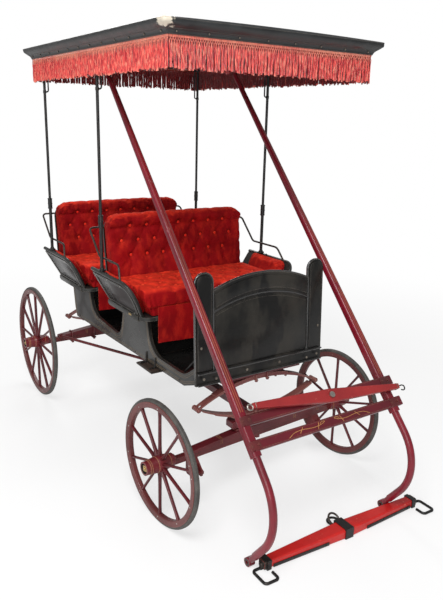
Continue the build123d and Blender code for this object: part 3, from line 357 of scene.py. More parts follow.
OCHRE = (182, 132, 80)
WORN_CORNER = (-TOP_HALF - TOP_FLARE, TOP_FRONT - TOP_FLARE - MIDDLE_Y, TOP_RAIL + 0.048)
FINISHES = {
    # how it is made, material, its colours, then what differs: wear or roughness, shine, coat
    "gear": (lacquer, "gear_maroon", (92, 23, 30), (70, 17, 24), (160, 92, 84)),
    "axle": (lacquer, "axle_maroon", (96, 30, 32), (70, 24, 26), (126, 78, 68), 0.7, 0.42),
    "wheel": (lacquer, "wheel_maroon", (86, 20, 26), (68, 16, 22), (156, 92, 84), 0.45, 0.3),
    "felloe": (lacquer, "felloe_maroon", (100, 45, 43), (80, 34, 34), (152, 100, 90), 0.6, 0.38),
    "hub": (lacquer, "hub_maroon", (108, 28, 34), (86, 22, 28), (164, 102, 92), 0.5, 0.28),
    "spring": (lacquer, "spring_brown", (122, 72, 66), (92, 42, 42), (170, 130, 114), 0.8, 0.42),
    "tree": (lacquer, "swingletree_red", (150, 38, 38), (128, 28, 31), (204, 116, 104), 0.5, 0.36),
    "bar": (lacquer, "singletree_red", (194, 28, 23), (164, 21, 21), (224, 122, 100), 0.6, 0.36),
    "shaft": (striped, "shaft_maroon", (120, 15, 33), (94, 11, 26), (190, 104, 108), OCHRE),
    "cross": (lacquer, "crossbar_maroon", (98, 18, 31), (78, 15, 25), (172, 104, 98), 0.5, 0.32),
    "body": (coach_black, "coach_grey", (44, 43, 41), (27, 27, 26), (108, 90, 72)),
    "box": (coach_black, "coach_black", (15, 15, 15), (26, 25, 24), (96, 82, 70), 0.14, 0.5),
    "arm": (coach_black, "arm_board", (16, 10, 10), (30, 22, 21), (96, 86, 80), 0.22, 0.5, 0.04, 0.12),
    "trim": (coach_black, "arm_moulding", (50, 49, 47), (36, 36, 34), (128, 118, 106), 0.32, 0.8),
    "line": (lacquer, "ochre_line", OCHRE, (158, 116, 76), (112, 92, 74), 0.6, 0.5, 0.001),
    "scroll": (lacquer, "ochre_scroll", (214, 162, 92), (190, 138, 78), (120, 80, 60), 0.5, 0.5, 0.001),
    "body_line": (lacquer, "tan_line", (142, 122, 96), (116, 100, 80), (84, 76, 66), 0.7, 0.5, 0.001),
    "iron": (metal, "black_iron", (27, 27, 27), (58, 48, 42), 0.3, 0.34),
    "seat_iron": (metal, "seat_iron", (52, 46, 42), (84, 66, 54), 0.4, 0.34),
    "steel": (metal, "bare_steel", (176, 172, 166), (96, 84, 74), 0.9, 0.28),
    "old_steel": (metal, "old_steel", (120, 112, 102), (62, 54, 46), 0.8, 0.3),
    "brass": (metal, "old_brass", (186, 158, 108), (110, 88, 60), 0.9, 0.34),
    "rubber": (rubber, "tyre_rubber"),
    "dash": (leather, "dash_leather", (11, 11, 10), (44, 41, 36), 0.3, 1.0, 0.9),
    "rim": (leather, "dash_rim_leather", (10, 10, 10), (22, 22, 21), 0.18, 0.4, 0.3, 1.0, 0.1),
    "top": (leather, "top_leather", (24, 25, 26), (42, 44, 45), 0.3, 1.6, 0.3, 0.32, 0.16, WORN_CORNER),
    "strap": (leather, "strap_leather", (52, 48, 44), (86, 80, 72), 0.5, 1.2, 0.3, 0.08),
    # The last colour serves both the random brushed patches and the painted highlight on faces that look up.
    "velvet": (velvet, "red_velvet", (142, 8, 15), (94, 4, 9), (240, 60, 38)),
    # Painted highlight: the buttons get a brighter copy of the red velvet, as if they caught the light.
    "button": (velvet, "button_velvet", (216, 42, 28), (190, 26, 20), (244, 84, 50)),
    "fringe": (silk, "coral_silk", (220, 86, 78), (240, 164, 136), (158, 38, 46)),
    # The inner row's dark maroon is partly its own deeper dye and partly painted shade for the shaded inside of
    # the fringe.
    "fringe_inner": (silk, "maroon_silk", (122, 18, 24), (140, 36, 34), (84, 10, 16)),
    "wood": (wood, "frame_ash", (62, 48, 40), (36, 28, 24)),
    "hollow": (metal, "hub_shadow", (14, 12, 12), (24, 20, 18), 0.0, 0.7),
}
MATERIALS = {}


def give(mesh, finish):
    """Gives a mesh its finish alone; all finishes are made at the first call."""
    if not MATERIALS:
        MATERIALS.update({name: make(*values) for name, (make, *values) in FINISHES.items()})
    mesh.materials.clear()
    mesh.materials.append(MATERIALS[finish])


def finish_nodes(finish, *names):
    """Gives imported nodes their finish."""
    for name in names:
        give(NODES[name].data, finish)


# Modelling helpers
def facing(centre, axis):
    """A placement at the centre whose Z runs along the axis."""
    return Matrix.Translation(centre) @ Vector(axis).to_track_quat("Z", "Y").to_matrix().to_4x4()


def axes_at(place, *axes):
    """A placement whose X, Y and Z run along the given axes."""
    return Matrix.Translation(place) @ Matrix([Vector(axis) for axis in axes]).transposed().to_4x4()


def share(value, start, reach):
    """How far a value has gone from the start over the reach, held between 0 and 1."""
    return min(1.0, max(0.0, (value - start) / reach))


def rounded(points, radius, steps=5, closed=False):
    """Path points with an arc of the radius, or of a radius each, at every corner."""
    points = [Vector(point) for point in points]
    radii = radius if isinstance(radius, (list, tuple)) else [radius] * len(points)
    path = []
    for index, point in enumerate(points):
        if radii[index] <= 0 or not closed and index in (0, len(points) - 1):
            path.append(point)
            continue
        before = (points[index - 1] - point).normalized()
        after = (points[(index + 1) % len(points)] - point).normalized()
        half = before.angle(after) / 2
        if half > QUARTER_TURN - 0.02:
            path.append(point)
            continue
        reach = radii[index] / math.tan(half)
        middle = point + (before + after).normalized() * (radii[index] / math.sin(half))
        first, last = point + before * reach - middle, point + after * reach - middle
        sweep, axis = first.angle(last), first.cross(last).normalized()
        path += [middle + Matrix.Rotation(sweep * step / steps, 3, axis) @ first for step in range(steps + 1)]
    return path


def circle(radius, steps):
    """Points round a full circle, as (cosine, sine) times the radius."""
    turns = [math.tau * step / steps for step in range(steps)]
    return [(radius * math.cos(turn), radius * math.sin(turn)) for turn in turns]


def through(ends_x, low, high, steps=24):
    """An arch over both ends of a width: points (x, z) on the circle through its feet and its crown."""
    rise = high - low
    radius = (ends_x ** 2 + rise ** 2) / (2 * rise)
    spread = math.asin(ends_x / radius)
    turns = [spread * (2 * step / steps - 1) for step in range(steps + 1)]
    return [(radius * math.sin(turn), high - radius + radius * math.cos(turn)) for turn in turns]


def only(kind, items):
    return [item for item in items if isinstance(item, kind)]


def add_object(name, data):
    obj = bpy.data.objects.new(name, data)
    bpy.context.scene.collection.objects.link(obj)
    return obj


def tree_of(mesh):
    """What finds the point where a line meets the mesh."""
    points, faces = [vert.co for vert in mesh.vertices], [face.vertices[:] for face in mesh.polygons]
    return BVHTree.FromPolygons(points, faces)


class Shape:
    """A bmesh that a piece is modelled in."""

    def __init__(self):
        self.bm = bmesh.new()

    def soften(self, verts, radius, segments=2, limit=0.5):
        """Rounds the sharp edges between the given points."""
        chosen = set(verts)
        edges = dict.fromkeys(
            edge for vert in verts for edge in vert.link_edges
            if chosen.issuperset(edge.verts) and len(edge.link_faces) == 2 and edge.calc_face_angle(0) > limit
        )
        bmesh.ops.bevel(
            self.bm, geom=list(edges), offset=radius, offset_type="OFFSET", segments=segments, profile=0.5,
            affect="EDGES", clamp_overlap=True, material=-1,
        )

    def box(self, centre, size, radius=0.0, matrix=IDENTITY, segments=2):
        place = matrix @ Matrix.Translation(centre) @ Matrix.Diagonal((*size, 1))
        verts = bmesh.ops.create_cube(self.bm, size=1.0, matrix=place)["verts"]
        if radius:
            self.soften(verts, radius, segments)

    def grid(self, width, depth, across, along, place):
        """A flat sheet of small faces; gives its points."""
        made = bmesh.ops.create_grid(self.bm, x_segments=across, y_segments=along, size=0.5)["verts"]
        bmesh.ops.transform(self.bm, matrix=place @ Matrix.Diagonal((width, depth, 1, 1)), verts=made)
        return made

    def pin(self, centre, axis, radius, length, sides=16, radius_end=None, edge=0.0):
        end = radius if radius_end is None else radius_end
        made = bmesh.ops.create_cone(
            self.bm, cap_ends=True, segments=sides, radius1=radius, radius2=end, depth=length,
            matrix=facing(centre, axis),
        )["verts"]
        if edge:
            self.soften(made, edge, 2, 0.9)

    def ball(self, centre, axis, radius, height, sides=10, rings=5):
        """A low domed head."""
        place = facing(centre, axis) @ Matrix.Diagonal((1, 1, height / radius, 1))
        bmesh.ops.create_uvsphere(self.bm, u_segments=sides, v_segments=2 * rings, radius=radius, matrix=place)

    def bolt(self, centre, axis, radius, height, sides=4):
        """A nut or square head on a washer, with a short stub."""
        centre, axis = Vector(centre), Vector(axis).normalized()
        head = radius * (1.18 if sides == 4 else 1.08)
        self.pin(centre + axis * height * 0.1, axis, radius * 1.3, height * 0.2, 14)
        self.pin(centre + axis * height * 0.55, axis, head, height * 0.8, sides, edge=height * 0.12)
        self.pin(centre + axis * height * 1.05, axis, radius * 0.55, height * 0.3, 10)

    def turned(self, profile, matrix, steps):
        """Spins a closed (x, radius) outline about X."""
        before = set(self.bm.verts)
        verts = [self.bm.verts.new((x, 0, radius)) for x, radius in profile]
        edges = [self.bm.edges.new(pair) for pair in zip(verts, verts[1:] + verts[:1])]
        bmesh.ops.spin(
            self.bm, geom=verts + edges, cent=(0, 0, 0), axis=(1, 0, 0), dvec=(0, 0, 0), angle=math.tau,
            steps=steps, use_merge=True, use_duplicate=False,
        )
        made = [vert for vert in self.bm.verts if vert not in before]
        bmesh.ops.transform(self.bm, matrix=matrix, verts=made)

    def lofted(self, sections, matrix, sides):
        """A closed bar along Z through sections of (height, half width, half depth)."""
        places = [
            matrix @ Matrix.Translation((0, 0, height)) @ Matrix.Diagonal((half_x, half_y, 1, 1))
            for height, half_x, half_y in sections
        ]
        ring = bmesh.ops.create_circle(
            self.bm, cap_ends=False, segments=sides, radius=1.0, matrix=places[0],
        )["verts"]
        edges = first = list(dict.fromkeys(edge for vert in ring for edge in vert.link_edges))
        for last, place in zip(places, places[1:]):
            made = bmesh.ops.extrude_edge_only(self.bm, edges=edges)["geom"]
            edges = only(BMEdge, made)
            bmesh.ops.transform(self.bm, matrix=place @ last.inverted(), verts=only(BMVert, made))
        for loop in (first, edges):
            bmesh.ops.holes_fill(self.bm, edges=loop, sides=0)

    def tubes(self, paths, radius, closed=False, depth=2, matrix=IDENTITY, kind="POLY", widths=None):
        """Round rods along the paths, as the splines of one curve with its own bevel."""
        data = bpy.data.curves.new("paths", "CURVE")
        data.dimensions = "3D"
        data.bevel_depth = radius
        data.bevel_resolution = depth
        data.use_fill_caps = True
        for path in paths:
            spline = data.splines.new(kind)
            spline.points.add(len(path) - 1)
            for index, point in enumerate(path):
                spline.points[index].co = (*point, 1.0)
                spline.points[index].radius = widths[index] if widths else 1.0
            spline.use_cyclic_u = closed
            if kind == "NURBS":
                spline.order_u = 3
                spline.use_endpoint_u = not closed
        holder = bpy.data.objects.new("paths", data)
        mesh = bpy.data.meshes.new_from_object(holder)
        mesh.transform(matrix)
        self.bm.from_mesh(mesh)
        bpy.data.objects.remove(holder)
        bpy.data.curves.remove(data)
        bpy.data.meshes.remove(mesh)

    def tube(self, path, *values, **settings):
        self.tubes([path], *values, **settings)

    def raised(self, faces, height):
        """Draws faces up along Z; gives the new ones."""
        made = bmesh.ops.extrude_face_region(self.bm, geom=faces)["geom"]
        bmesh.ops.translate(self.bm, vec=(0, 0, height), verts=only(BMVert, made))
        return only(BMFace, made)

    def plate(self, outline, matrix, thick, edge, inset=0.0, sink=0.0):
        """A board from a flat outline in XY, standing up along Z, with a sunk field if an inset is given."""
        before = set(self.bm.verts)
        face = self.bm.faces.new([self.bm.verts.new((*point[:2], 0)) for point in outline])
        if face.normal.z < 0:
            face.normal_flip()
        top = self.raised([face], thick)
        if inset:
            bmesh.ops.inset_region(self.bm, faces=top, thickness=inset, use_even_offset=True)
            self.raised(top, -sink)
            bmesh.ops.delete(self.bm, geom=[item for item in top if item.is_valid], context="FACES_ONLY")
        verts = [vert for vert in self.bm.verts if vert not in before]
        faces = dict.fromkeys(item for vert in verts for item in vert.link_faces)
        bmesh.ops.recalc_face_normals(self.bm, faces=list(faces))
        bmesh.ops.transform(self.bm, matrix=matrix, verts=verts)
        self.soften(verts, edge)

    def mirrored(self):
        """Adds the other side of everything so far."""
        made = bmesh.ops.duplicate(self.bm, geom=[*self.bm.verts, *self.bm.edges, *self.bm.faces])["geom"]
        bmesh.ops.scale(self.bm, vec=(-1, 1, 1), verts=only(BMVert, made))
        bmesh.ops.reverse_faces(self.bm, faces=only(BMFace, made))

    def mesh(self, name, recalc=True):
        if recalc:
            bmesh.ops.recalc_face_normals(self.bm, faces=self.bm.faces)
        mesh = bpy.data.meshes.new(name)
        self.bm.to_mesh(mesh)
        self.bm.free()
        return mesh


def piece(name, shape, paint, replaces=(), body="carriage", angle=35.0):
    """Makes an object of a shape or mesh, with its finish, its body and what it stands for."""
    mesh = shape.mesh(name) if isinstance(shape, Shape) else shape
    mesh.transform(Matrix.Translation((0, -MIDDLE_Y, 0)))
    mesh.shade_smooth()
    mesh.set_sharp_from_angle(angle=math.radians(angle))
    obj = add_object(name, mesh)
    give(mesh, paint)
    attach(obj, body)
    if replaces:
        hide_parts(*replaces)
    return obj


def axle_place(axle_y):
    """Where an axle's parts stand: the front one is turned a little, as it is parked."""
    return Matrix.Translation((0, axle_y, 0)) @ Matrix.Rotation(0 if axle_y else REST_STEER, 4, "Z")


def wheel_place(radius, axle_y, side):
    turn = Matrix.Rotation(0 if side > 0 else math.pi, 4, "Z")
    return axle_place(axle_y) @ Matrix.Translation((side * TRACK / 2, 0, radius)) @ turn


def dash_place():
    """A placement on the dash's front: X across, Y up it, Z out to the front."""
    return Matrix.Translation((0, DASH_Y, DASH_LOW)) @ Matrix.Rotation(QUARTER_TURN - DASH_LEAN, 4, "X")


def shaft_place(run, out, x=0.0):
    """A placement on the shafts' plane: X across, Y up along them, Z out of their front face."""
    return axes_at(Vector((x, 0, 0)) + SHAFT_LOW + ALONG * run + OUTWARD * out, (1, 0, 0), ALONG, OUTWARD)


def arm_place(seat_y, board_z):
    """A placement on the left seat arm's plane: X back along it, Y up its slope, Z outward."""
    lean, rise = (ARM_TOP_X - ARM_FOOT_X) / ARM_SLANT, ARM_HEIGHT / ARM_SLANT
    return axes_at((ARM_FOOT_X, seat_y, board_z), (0, 1, 0), (lean, 0, rise), (rise, 0, -lean))


# What a user would change
class SurreySizes(bpy.types.PropertyGroup):
    fringe_pitch: bpy.props.FloatProperty(
        name="Fringe pitch", description="From one fringe cord to the next", default=0.0056, min=0.004,
        unit="LENGTH",
    )
    nail_pitch: bpy.props.FloatProperty(
        name="Nail pitch", description="From one nail of the top to the next", default=0.136, min=0.03,
        unit="LENGTH",
    )
    tuft_pitch: bpy.props.FloatProperty(
        name="Tuft pitch", description="From one button to the next along a row", default=0.100, min=0.05,
        unit="LENGTH",
    )
    tuft_depth: bpy.props.FloatProperty(
        name="Tuft depth", description="How deep the buttons pull the velvet in", default=0.019, min=0.0,
        unit="LENGTH",
    )
    swell: bpy.props.FloatProperty(
        name="Cushion swell", description="The most that the stuffing lifts the velvet", default=0.018,
        unit="LENGTH",
    )
    fall_fold: bpy.props.FloatProperty(
        name="Fold depth", description="Depth of the soft folds in the hanging falls", default=0.004,
        unit="LENGTH",
    )
    wrinkle: bpy.props.FloatProperty(
        name="Wrinkles", description="Depth of the wrinkles in the leather top", default=0.0048, unit="LENGTH",
    )


class SurreyStage(bpy.types.PropertyGroup):
    sky: bpy.props.FloatProperty(name="Sky", description="Strength of the even light", default=0.42, min=0.0)
    key: bpy.props.FloatProperty(
        name="Key lamp", description="Power of the large lamp", default=230.0, unit="POWER",
    )
    floor: bpy.props.FloatVectorProperty(
        name="Floor", description="Colour of the floor", default=(0.92, 0.92, 0.92), subtype="COLOR",
    )
    lens: bpy.props.FloatProperty(name="Lens", description="Focal length of the camera in mm", default=38.16)


# Wheels
NAVE = (
    # x out along the axle, radius
    (-0.064, 0.0165), (-0.064, 0.028), (-0.052, 0.028), (-0.052, 0.0308), (-0.046, 0.0325), (-0.034, 0.0352),
    (-0.024, 0.0372), (-0.017, 0.0392), (-0.013, 0.0398), (0.013, 0.0398), (0.017, 0.0392), (0.020, 0.0378),
    (0.034, 0.0366), (0.050, 0.0344), (0.060, 0.0330), (0.0675, 0.0318), (0.068, 0.029), (0.084, 0.029),
    (0.0843, 0.0246), (0.0605, 0.0246), (0.0605, 0.0165),
)
HUB_MOUTH = (
    # x, radius
    (0.0835, 0.0248), (0.0835, 0.0238), (0.0612, 0.0238), (0.0612, 0.0170), (0.0604, 0.0170), (0.0604, 0.0248),
)
HUB_LINES = ((0.0632, 0.0324), (0.0555, 0.0337), (0.0230, 0.0377), (-0.0440, 0.0331))
FELLOE_DEPTH, TYRE_DEPTH, FELLOE_HALF, FELLOE_ROUND = 0.042, 0.015, 0.014, 0.0065


class SURREY_OT_wheels(bpy.types.Operator):
    """Naves, oval spokes, felloes with their channel and rivets, hub rings, nuts and tyres"""

    bl_idname = "surrey.wheels"
    bl_label = "Wheels"

    def execute(self, context):
        for name, radius, count, axle_y, side in CORNERS:
            place = wheel_place(radius, axle_y, side)
            wheel = f"wheel_{name}"
            rim_in = radius - FELLOE_DEPTH
            nave, mouth = Shape(), Shape()
            nave.turned(NAVE, place, 56)
            mouth.turned(HUB_MOUTH, place, 40)
            lines = Shape()
            rings = [[(x, y, z) for y, z in circle(ring_radius, 56)] for x, ring_radius in HUB_LINES]
            lines.tubes(rings, 0.0009, closed=True, depth=0, matrix=place)
            for label, shape, paint, angle in (
                ("nave", nave, "hub", 35), ("spokes", self.spokes(place, rim_in, count), "wheel", 50),
                ("felloe", self.felloe(place, rim_in, radius - TYRE_DEPTH), "felloe", 35),
            ):
                piece(f"{label}_{name}", shape, paint, [wheel], wheel, angle)
            for label, shape, paint in (
                ("rivets", self.rivets(place, rim_in, count), "steel"), ("hub_lines", lines, "line"),
                ("hub_mouth", mouth, "hollow"),
            ):
                piece(f"{label}_{name}", shape, paint, body=wheel)
            self.nut(name, place, "carriage" if axle_y else "front_gear")
            finish_nodes("rubber", f"tyre_{name}")
            finish_nodes("hub", f"wheel_{name}_irons")
        return {"FINISHED"}

    @staticmethod
    def spokes(place, rim_in, count):
        """Oval spokes from the nave into the felloe."""
        sections = (
            # distance from the axle, half width, half thickness
            (0.0345, 0.0122, 0.0078), (0.050, 0.0118, 0.0076), (0.064, 0.0100, 0.0068), (0.095, 0.0090, 0.0063),
            (rim_in * 0.62, 0.0086, 0.0061), (rim_in - 0.040, 0.0084, 0.0060), (rim_in - 0.016, 0.0090, 0.0064),
            (rim_in - 0.004, 0.0098, 0.0070), (rim_in + 0.003, 0.0098, 0.0070),
        )
        shape = Shape()
        for number in range(count):
            shape.lofted(sections, place @ Matrix.Rotation(math.tau * number / count, 4, "X"), 14)
        return shape

    @staticmethod
    def felloe(place, rim_in, rim_out):
        """The wood rim, rounded inside, with a bead under each edge of the tyre."""
        shape = Shape()
        corner = [
            (FELLOE_HALF - FELLOE_ROUND + FELLOE_ROUND * math.cos(turn),
             rim_in + FELLOE_ROUND - FELLOE_ROUND * math.sin(turn))
            for turn in map(math.radians, (0, 30, 60, 90))
        ]
        far_corner = [(-x, radius) for x, radius in reversed(corner)]
        shape.turned([(FELLOE_HALF, rim_out), *corner, *far_corner, (-FELLOE_HALF, rim_out)], place, 120)
        beads = [[(x, y, z) for y, z in circle(rim_out - 0.0005, 120)] for x in (-0.0128, 0.0128)]
        shape.tubes(beads, 0.0021, closed=True, depth=1, matrix=place)
        return shape

    @staticmethod
    def rivets(place, rim_in, count):
        """A rivet between each two spokes, and a pair at both joints of the felloe."""
        shape = Shape()
        middle = rim_in + 0.013
        for number in range(count):
            for off in (-0.028, 0.028) if number % (count // 2) == 0 else (0,):
                turn = math.pi * (2 * number + 1) / count + off / middle
                spot = Vector((FELLOE_HALF - 0.0003, middle * math.cos(turn), middle * math.sin(turn)))
                shape.ball(place @ spot, place.to_3x3().col[0], 0.0036, 0.0016, 8, 3)
        return shape

    @staticmethod
    def nut(name, place, body):
        shape = Shape()
        shape.box((0.0706, 0, 0), (0.0196, 0.0286, 0.0286), 0.0022, place @ Matrix.Rotation(0.3, 4, "X"))
        shape.pin(place @ Vector((0.0822, 0, 0)), place.to_3x3().col[0], 0.0082, 0.005, 20, edge=0.0012)
        piece(f"hub_nut_{name}", shape, "brass", body=body)


# Axles, fifth wheel and reach
BED_LINES_X = (0.418, 0.408, 0.246, 0.236)
AXLE_CLIPS_X = (0.345, 0.190)


class SURREY_OT_gear(bpy.types.Operator):
    """Finishes the running gear and adds the bed lines and axle clips"""

    bl_idname = "surrey.gear"
    bl_label = "Running gear"

    def execute(self, context):
        finish_nodes("axle", "front_axle", "rear_axle", "fifth_wheel_lower", "fifth_wheel_upper", "reach_stays",
                     "shaft_couplings")
        finish_nodes("gear", "front_axle_bed", "rear_axle_bed", "head_block", "reach", "spring_bars")
        finish_nodes("seat_iron", "rear_body_hangers")
        self.bed_lines("front", 0.0, FRONT_RADIUS, 0.034, "front_gear")
        self.bed_lines("rear", WHEEL_BASE, REAR_RADIUS, 0.050, "carriage")
        self.clips(REAR_RADIUS, 0.050)
        bolts = Shape()
        for x, y in ((0.0, 0.060), (-0.12, 0.078), (0.12, 0.078)):
            bolts.bolt((x, y, 0.3570), UP, 0.007, 0.006, 6)
        piece("fifth_wheel_bolts", bolts, "axle")
        return {"FINISHED"}

    @staticmethod
    def hoop(x, half_y, low, high, radius, steps):
        """A strap's path over the bed, open below."""
        corners = ((x, -half_y, low), (x, -half_y, high), (x, half_y, high), (x, half_y, low))
        return rounded(corners, radius, steps)

    @staticmethod
    def bed_top(x, height, depth):
        """The bed's upper face: level in the middle, then falling to its ends."""
        return height + 0.004 + depth - (depth - 0.012) * max(0.0, abs(x) - 0.110) / 0.325

    def bed_lines(self, name, axle_y, height, depth, body):
        hoops = [
            self.hoop(side * x, 0.0232, height + 0.004, self.bed_top(x, height, depth) + 0.0002, 0.006, 3)
            for side in (-1, 1) for x in BED_LINES_X
        ]
        shape = Shape()
        shape.tubes(hoops, 0.0007, depth=0, matrix=axle_place(axle_y))
        piece(f"{name}_bed_lines", shape, "line", body=body)

    def clips(self, height, depth):
        """Clips that hold the rear axle to its bed: a hoop, a bar under it and two nuts each."""
        shape = Shape()
        place = axle_place(WHEEL_BASE)
        bar_low, half_y = height - 0.026, 0.0282
        for x in (side * x for side in (-1, 1) for x in AXLE_CLIPS_X):
            top = self.bed_top(x, height, depth) + 0.0045
            shape.tube(self.hoop(x, half_y, bar_low - 0.016, top, 0.012, 5), 0.0045, matrix=place)
            shape.box((x, 0, bar_low - 0.0035), (0.026, 0.074, 0.006), 0.0016, place)
            for y in (-half_y, half_y):
                shape.pin(place @ Vector((x, y, bar_low - 0.0105)), UP, 0.0085, 0.008, 6, edge=0.001)
        piece("rear_axle_clips", shape, "axle")


# Elliptic springs
class SURREY_OT_springs(bpy.types.Operator):
    """Finishes the leaves and adds the clips, centre bolts and eye caps"""

    bl_idname = "surrey.springs"
    bl_label = "Springs"

    def execute(self, context):
        for name, axle_y, low in (("front", 0.0, 0.3905), ("rear", WHEEL_BASE, 0.414)):
            finish_nodes("spring", f"{name}_spring_lower", f"{name}_spring_upper")
            shape = Shape()
            self.clip(shape, axle_y, 0.030, low + 0.0240, 0.024, (low + 0.010, 0.044), low + 0.0300)
            self.clip(shape, axle_y, 0.034, 0.5845, 0.0235, (0.5950, 0.034), 0.5790)
            leaves = tree_of(NODES[f"{name}_spring_upper"].data)
            for x in (-0.170, -0.105, 0.105, 0.170):
                spot = leaves.ray_cast(Vector((x, axle_y - MIDDLE_Y, 0.50)), UP)[0]
                shape.pin(spot + Vector((0, MIDDLE_Y, -0.005)), UP, 0.0062, 0.014, 6, edge=0.001)
            for x in (-0.360, 0.360):
                for end in (-1, 1):
                    self.eye_cap(shape, x, axle_y, end)
            piece(f"{name}_spring_fittings", shape, "spring")
        return {"FINISHED"}

    @staticmethod
    def clip(shape, axle_y, half_x, plate_z, half_y, stem, nut_z):
        """A pair of clip plates across the leaves, each with two stems and two nuts."""
        stem_z, stem_length = stem
        for x in (-half_x, half_x):
            width = 2 * half_y + (0.016 if stem_length > 0.04 else 0.015)
            shape.box((x, axle_y, plate_z), (0.016, width, 0.005), 0.0014)
            for y in (axle_y - half_y, axle_y + half_y):
                shape.pin((x, y, stem_z), UP, 0.0042, stem_length, 10)
                shape.pin((x, y, nut_z), UP, 0.0080, 0.008, 6, edge=0.001)

    @staticmethod
    def eye_cap(shape, x, axle_y, end):
        shape.ball((x, axle_y + end * 0.0272, 0.499), (0, end, 0), 0.0088, 0.0040, 12, 3)
        place = facing((x, axle_y + end * 0.0200, 0.499), (0, end, 0)) @ Matrix.Rotation(-QUARTER_TURN, 4, "Y")
        shape.turned([(0, 0.0126), (0.0030, 0.0126), (0.0030, 0.0060), (0, 0.0060)], place, 24)


# Coach body
SIDE_POINTS = (
    # y, z, corner radius
    (-0.008, 0.622, 0), (0.117, 0.573, 0), (1.493, 0.549, 0), (1.517, 0.607, 0), (1.550, 0.785, 0),
    (1.262, 0.785, 0), (1.217, 0.6405, 0.130), (0.825, 0.60675, 0.085), (0.780, 0.812, 0), (0.500, 0.812, 0),
    (0.455, 0.628, 0.130), (0.117, 0.628, 0.130), (0.006, 0.705, 0),
)
SIDE_BOLTS = (
    # y, z
    (0.030, 0.640), (0.160, 0.588), (0.640, 0.578), (1.100, 0.572), (1.440, 0.566), (0.520, 0.780),
    (0.760, 0.780), (1.300, 0.755), (1.520, 0.755),
)
SIDE_FACE_X = 0.3602


def inset_outline(points, distance):
    """A closed outline drawn inside another at an even distance."""
    flat = [Vector(point[:2]) for point in points]
    area = sum(a.x * b.y - b.x * a.y for a, b in zip(flat, flat[1:] + flat[:1]))
    inward = math.copysign(1, area)
    result = []
    for before, point, after in zip(flat[-1:] + flat[:-1], flat, flat[1:] + flat[:1]):
        normals = [Vector((-run.y, run.x)).normalized() * inward for run in (point - before, after - point)]
        mitre = (normals[0] + normals[1]).normalized()
        result.append(point + mitre * (distance / max(0.3, mitre.dot(normals[0]))))
    return result


class SURREY_OT_body(bpy.types.Operator):
    """Finishes the coach body and adds its lines, ledges and bolts"""

    bl_idname = "surrey.body"
    bl_label = "Coach body"

    def execute(self, context):
        finish_nodes("body", "body_side_left", "body_side_right", "body_back")
        finish_nodes("box", "floor", "toe_board", "seat_boxes")
        finish_nodes("trim", "front_seat_board", "rear_seat_board")
        lines, ledges, bolts, plates, stays = (Shape() for _ in range(5))
        for distance in (0.0105, 0.0185):
            corners = inset_outline(SIDE_POINTS, distance)
            radii = [max(0.0, row[2] - distance) if row[2] else 0.004 for row in SIDE_POINTS]
            for x in (-0.3601, 0.3601):
                path = rounded([(x, y, z) for y, z in corners], radii, 8, closed=True)
                lines.tube(path, 0.0008, closed=True, depth=0)
        piece("body_lines", lines, "body_line")
        for _, seat_y, board_z in SEATS:
            ledges.box((0.4215, seat_y + 0.236, board_z - 0.010), (0.010, 0.366, 0.024), 0.0035)
            ledges.box((0.4030, seat_y + 0.236, board_z - 0.024), (0.040, 0.360, 0.010), 0.0030)
        ledges.mirrored()
        for _, seat_y, board_z in SEATS:
            ledges.box((0, seat_y + 0.0025, board_z - 0.010), (0.700, 0.008, 0.023), 0.0035)
        piece("seat_ledges", ledges, "trim")
        for y, z in SIDE_BOLTS:
            bolts.ball((SIDE_FACE_X, y, z), (1, 0, 0), 0.0052, 0.0024, 10, 3)
        bolts.mirrored()
        piece("body_bolts", bolts, "iron")
        for side in (-1, 1):
            plates.box((side * 0.427, 0.560, 0.822), (0.0016, 0.030, 0.010), 0.0006)
            x = side * 0.330
            path = ((x, 0.195, 0.606), (x, 0.172, 0.612), (x, 0.006, 0.772), (x, 0.004, 0.790))
            stays.tube(rounded(path, 0.012, 4), 0.0048)
        piece("ledge_plates", plates, "brass")
        piece("dash_stays", stays, "iron")
        return {"FINISHED"}


# Steps
class SURREY_OT_steps(bpy.types.Operator):
    """Finishes the steps and adds worn treads and brackets"""

    bl_idname = "surrey.steps"
    bl_label = "Steps"

    def execute(self, context):
        finish_nodes("seat_iron", "steps")
        treads, irons = Shape(), Shape()
        treads.box((0.3735, 0.454, 0.5605), (0.058, 0.160, 0.005), 0.0022)
        for y in (0.404, 0.504):
            path = ((0.3500, y, 0.620), (0.3620, y, 0.612), (0.3650, y, 0.5665), (0.398, y, 0.5655))
            irons.tube(rounded(path, 0.012, 4), 0.0045)
            irons.bolt((SIDE_FACE_X, y, 0.616), (1, 0, 0), 0.0055, 0.005)
        for name, shape, paint in (("step_treads", treads, "wood"), ("step_brackets", irons, "iron")):
            shape.mirrored()
            piece(name, shape, paint)
        return {"FINISHED"}


# Dash
WING = ((0.289, 0.070, 0), (0.371, 0.070, 0), (0.371, 0.517, 0), (0.289, 0.517, 0))
WING_STITCHES = (
    (0.294, 0.076, 0.0052), (0.294, 0.511, 0.0052), (0.366, 0.511, 0.0052), (0.366, 0.076, 0.0052),
)
FIELD_HALF, FIELD_LOW = 0.272, 0.072
DASH_BOLTS = (
    # x, height up the dash, how far it stands out
    (0.350, 0.182, 0.0048), (0.342, 0.034, 0.0120), (0.275, 0.026, 0.0120), (0.099, 0.034, 0.0120),
)
STITCH, STITCH_GAP, SHORTEST_STITCH = 0.0052, 0.0030, 0.0015


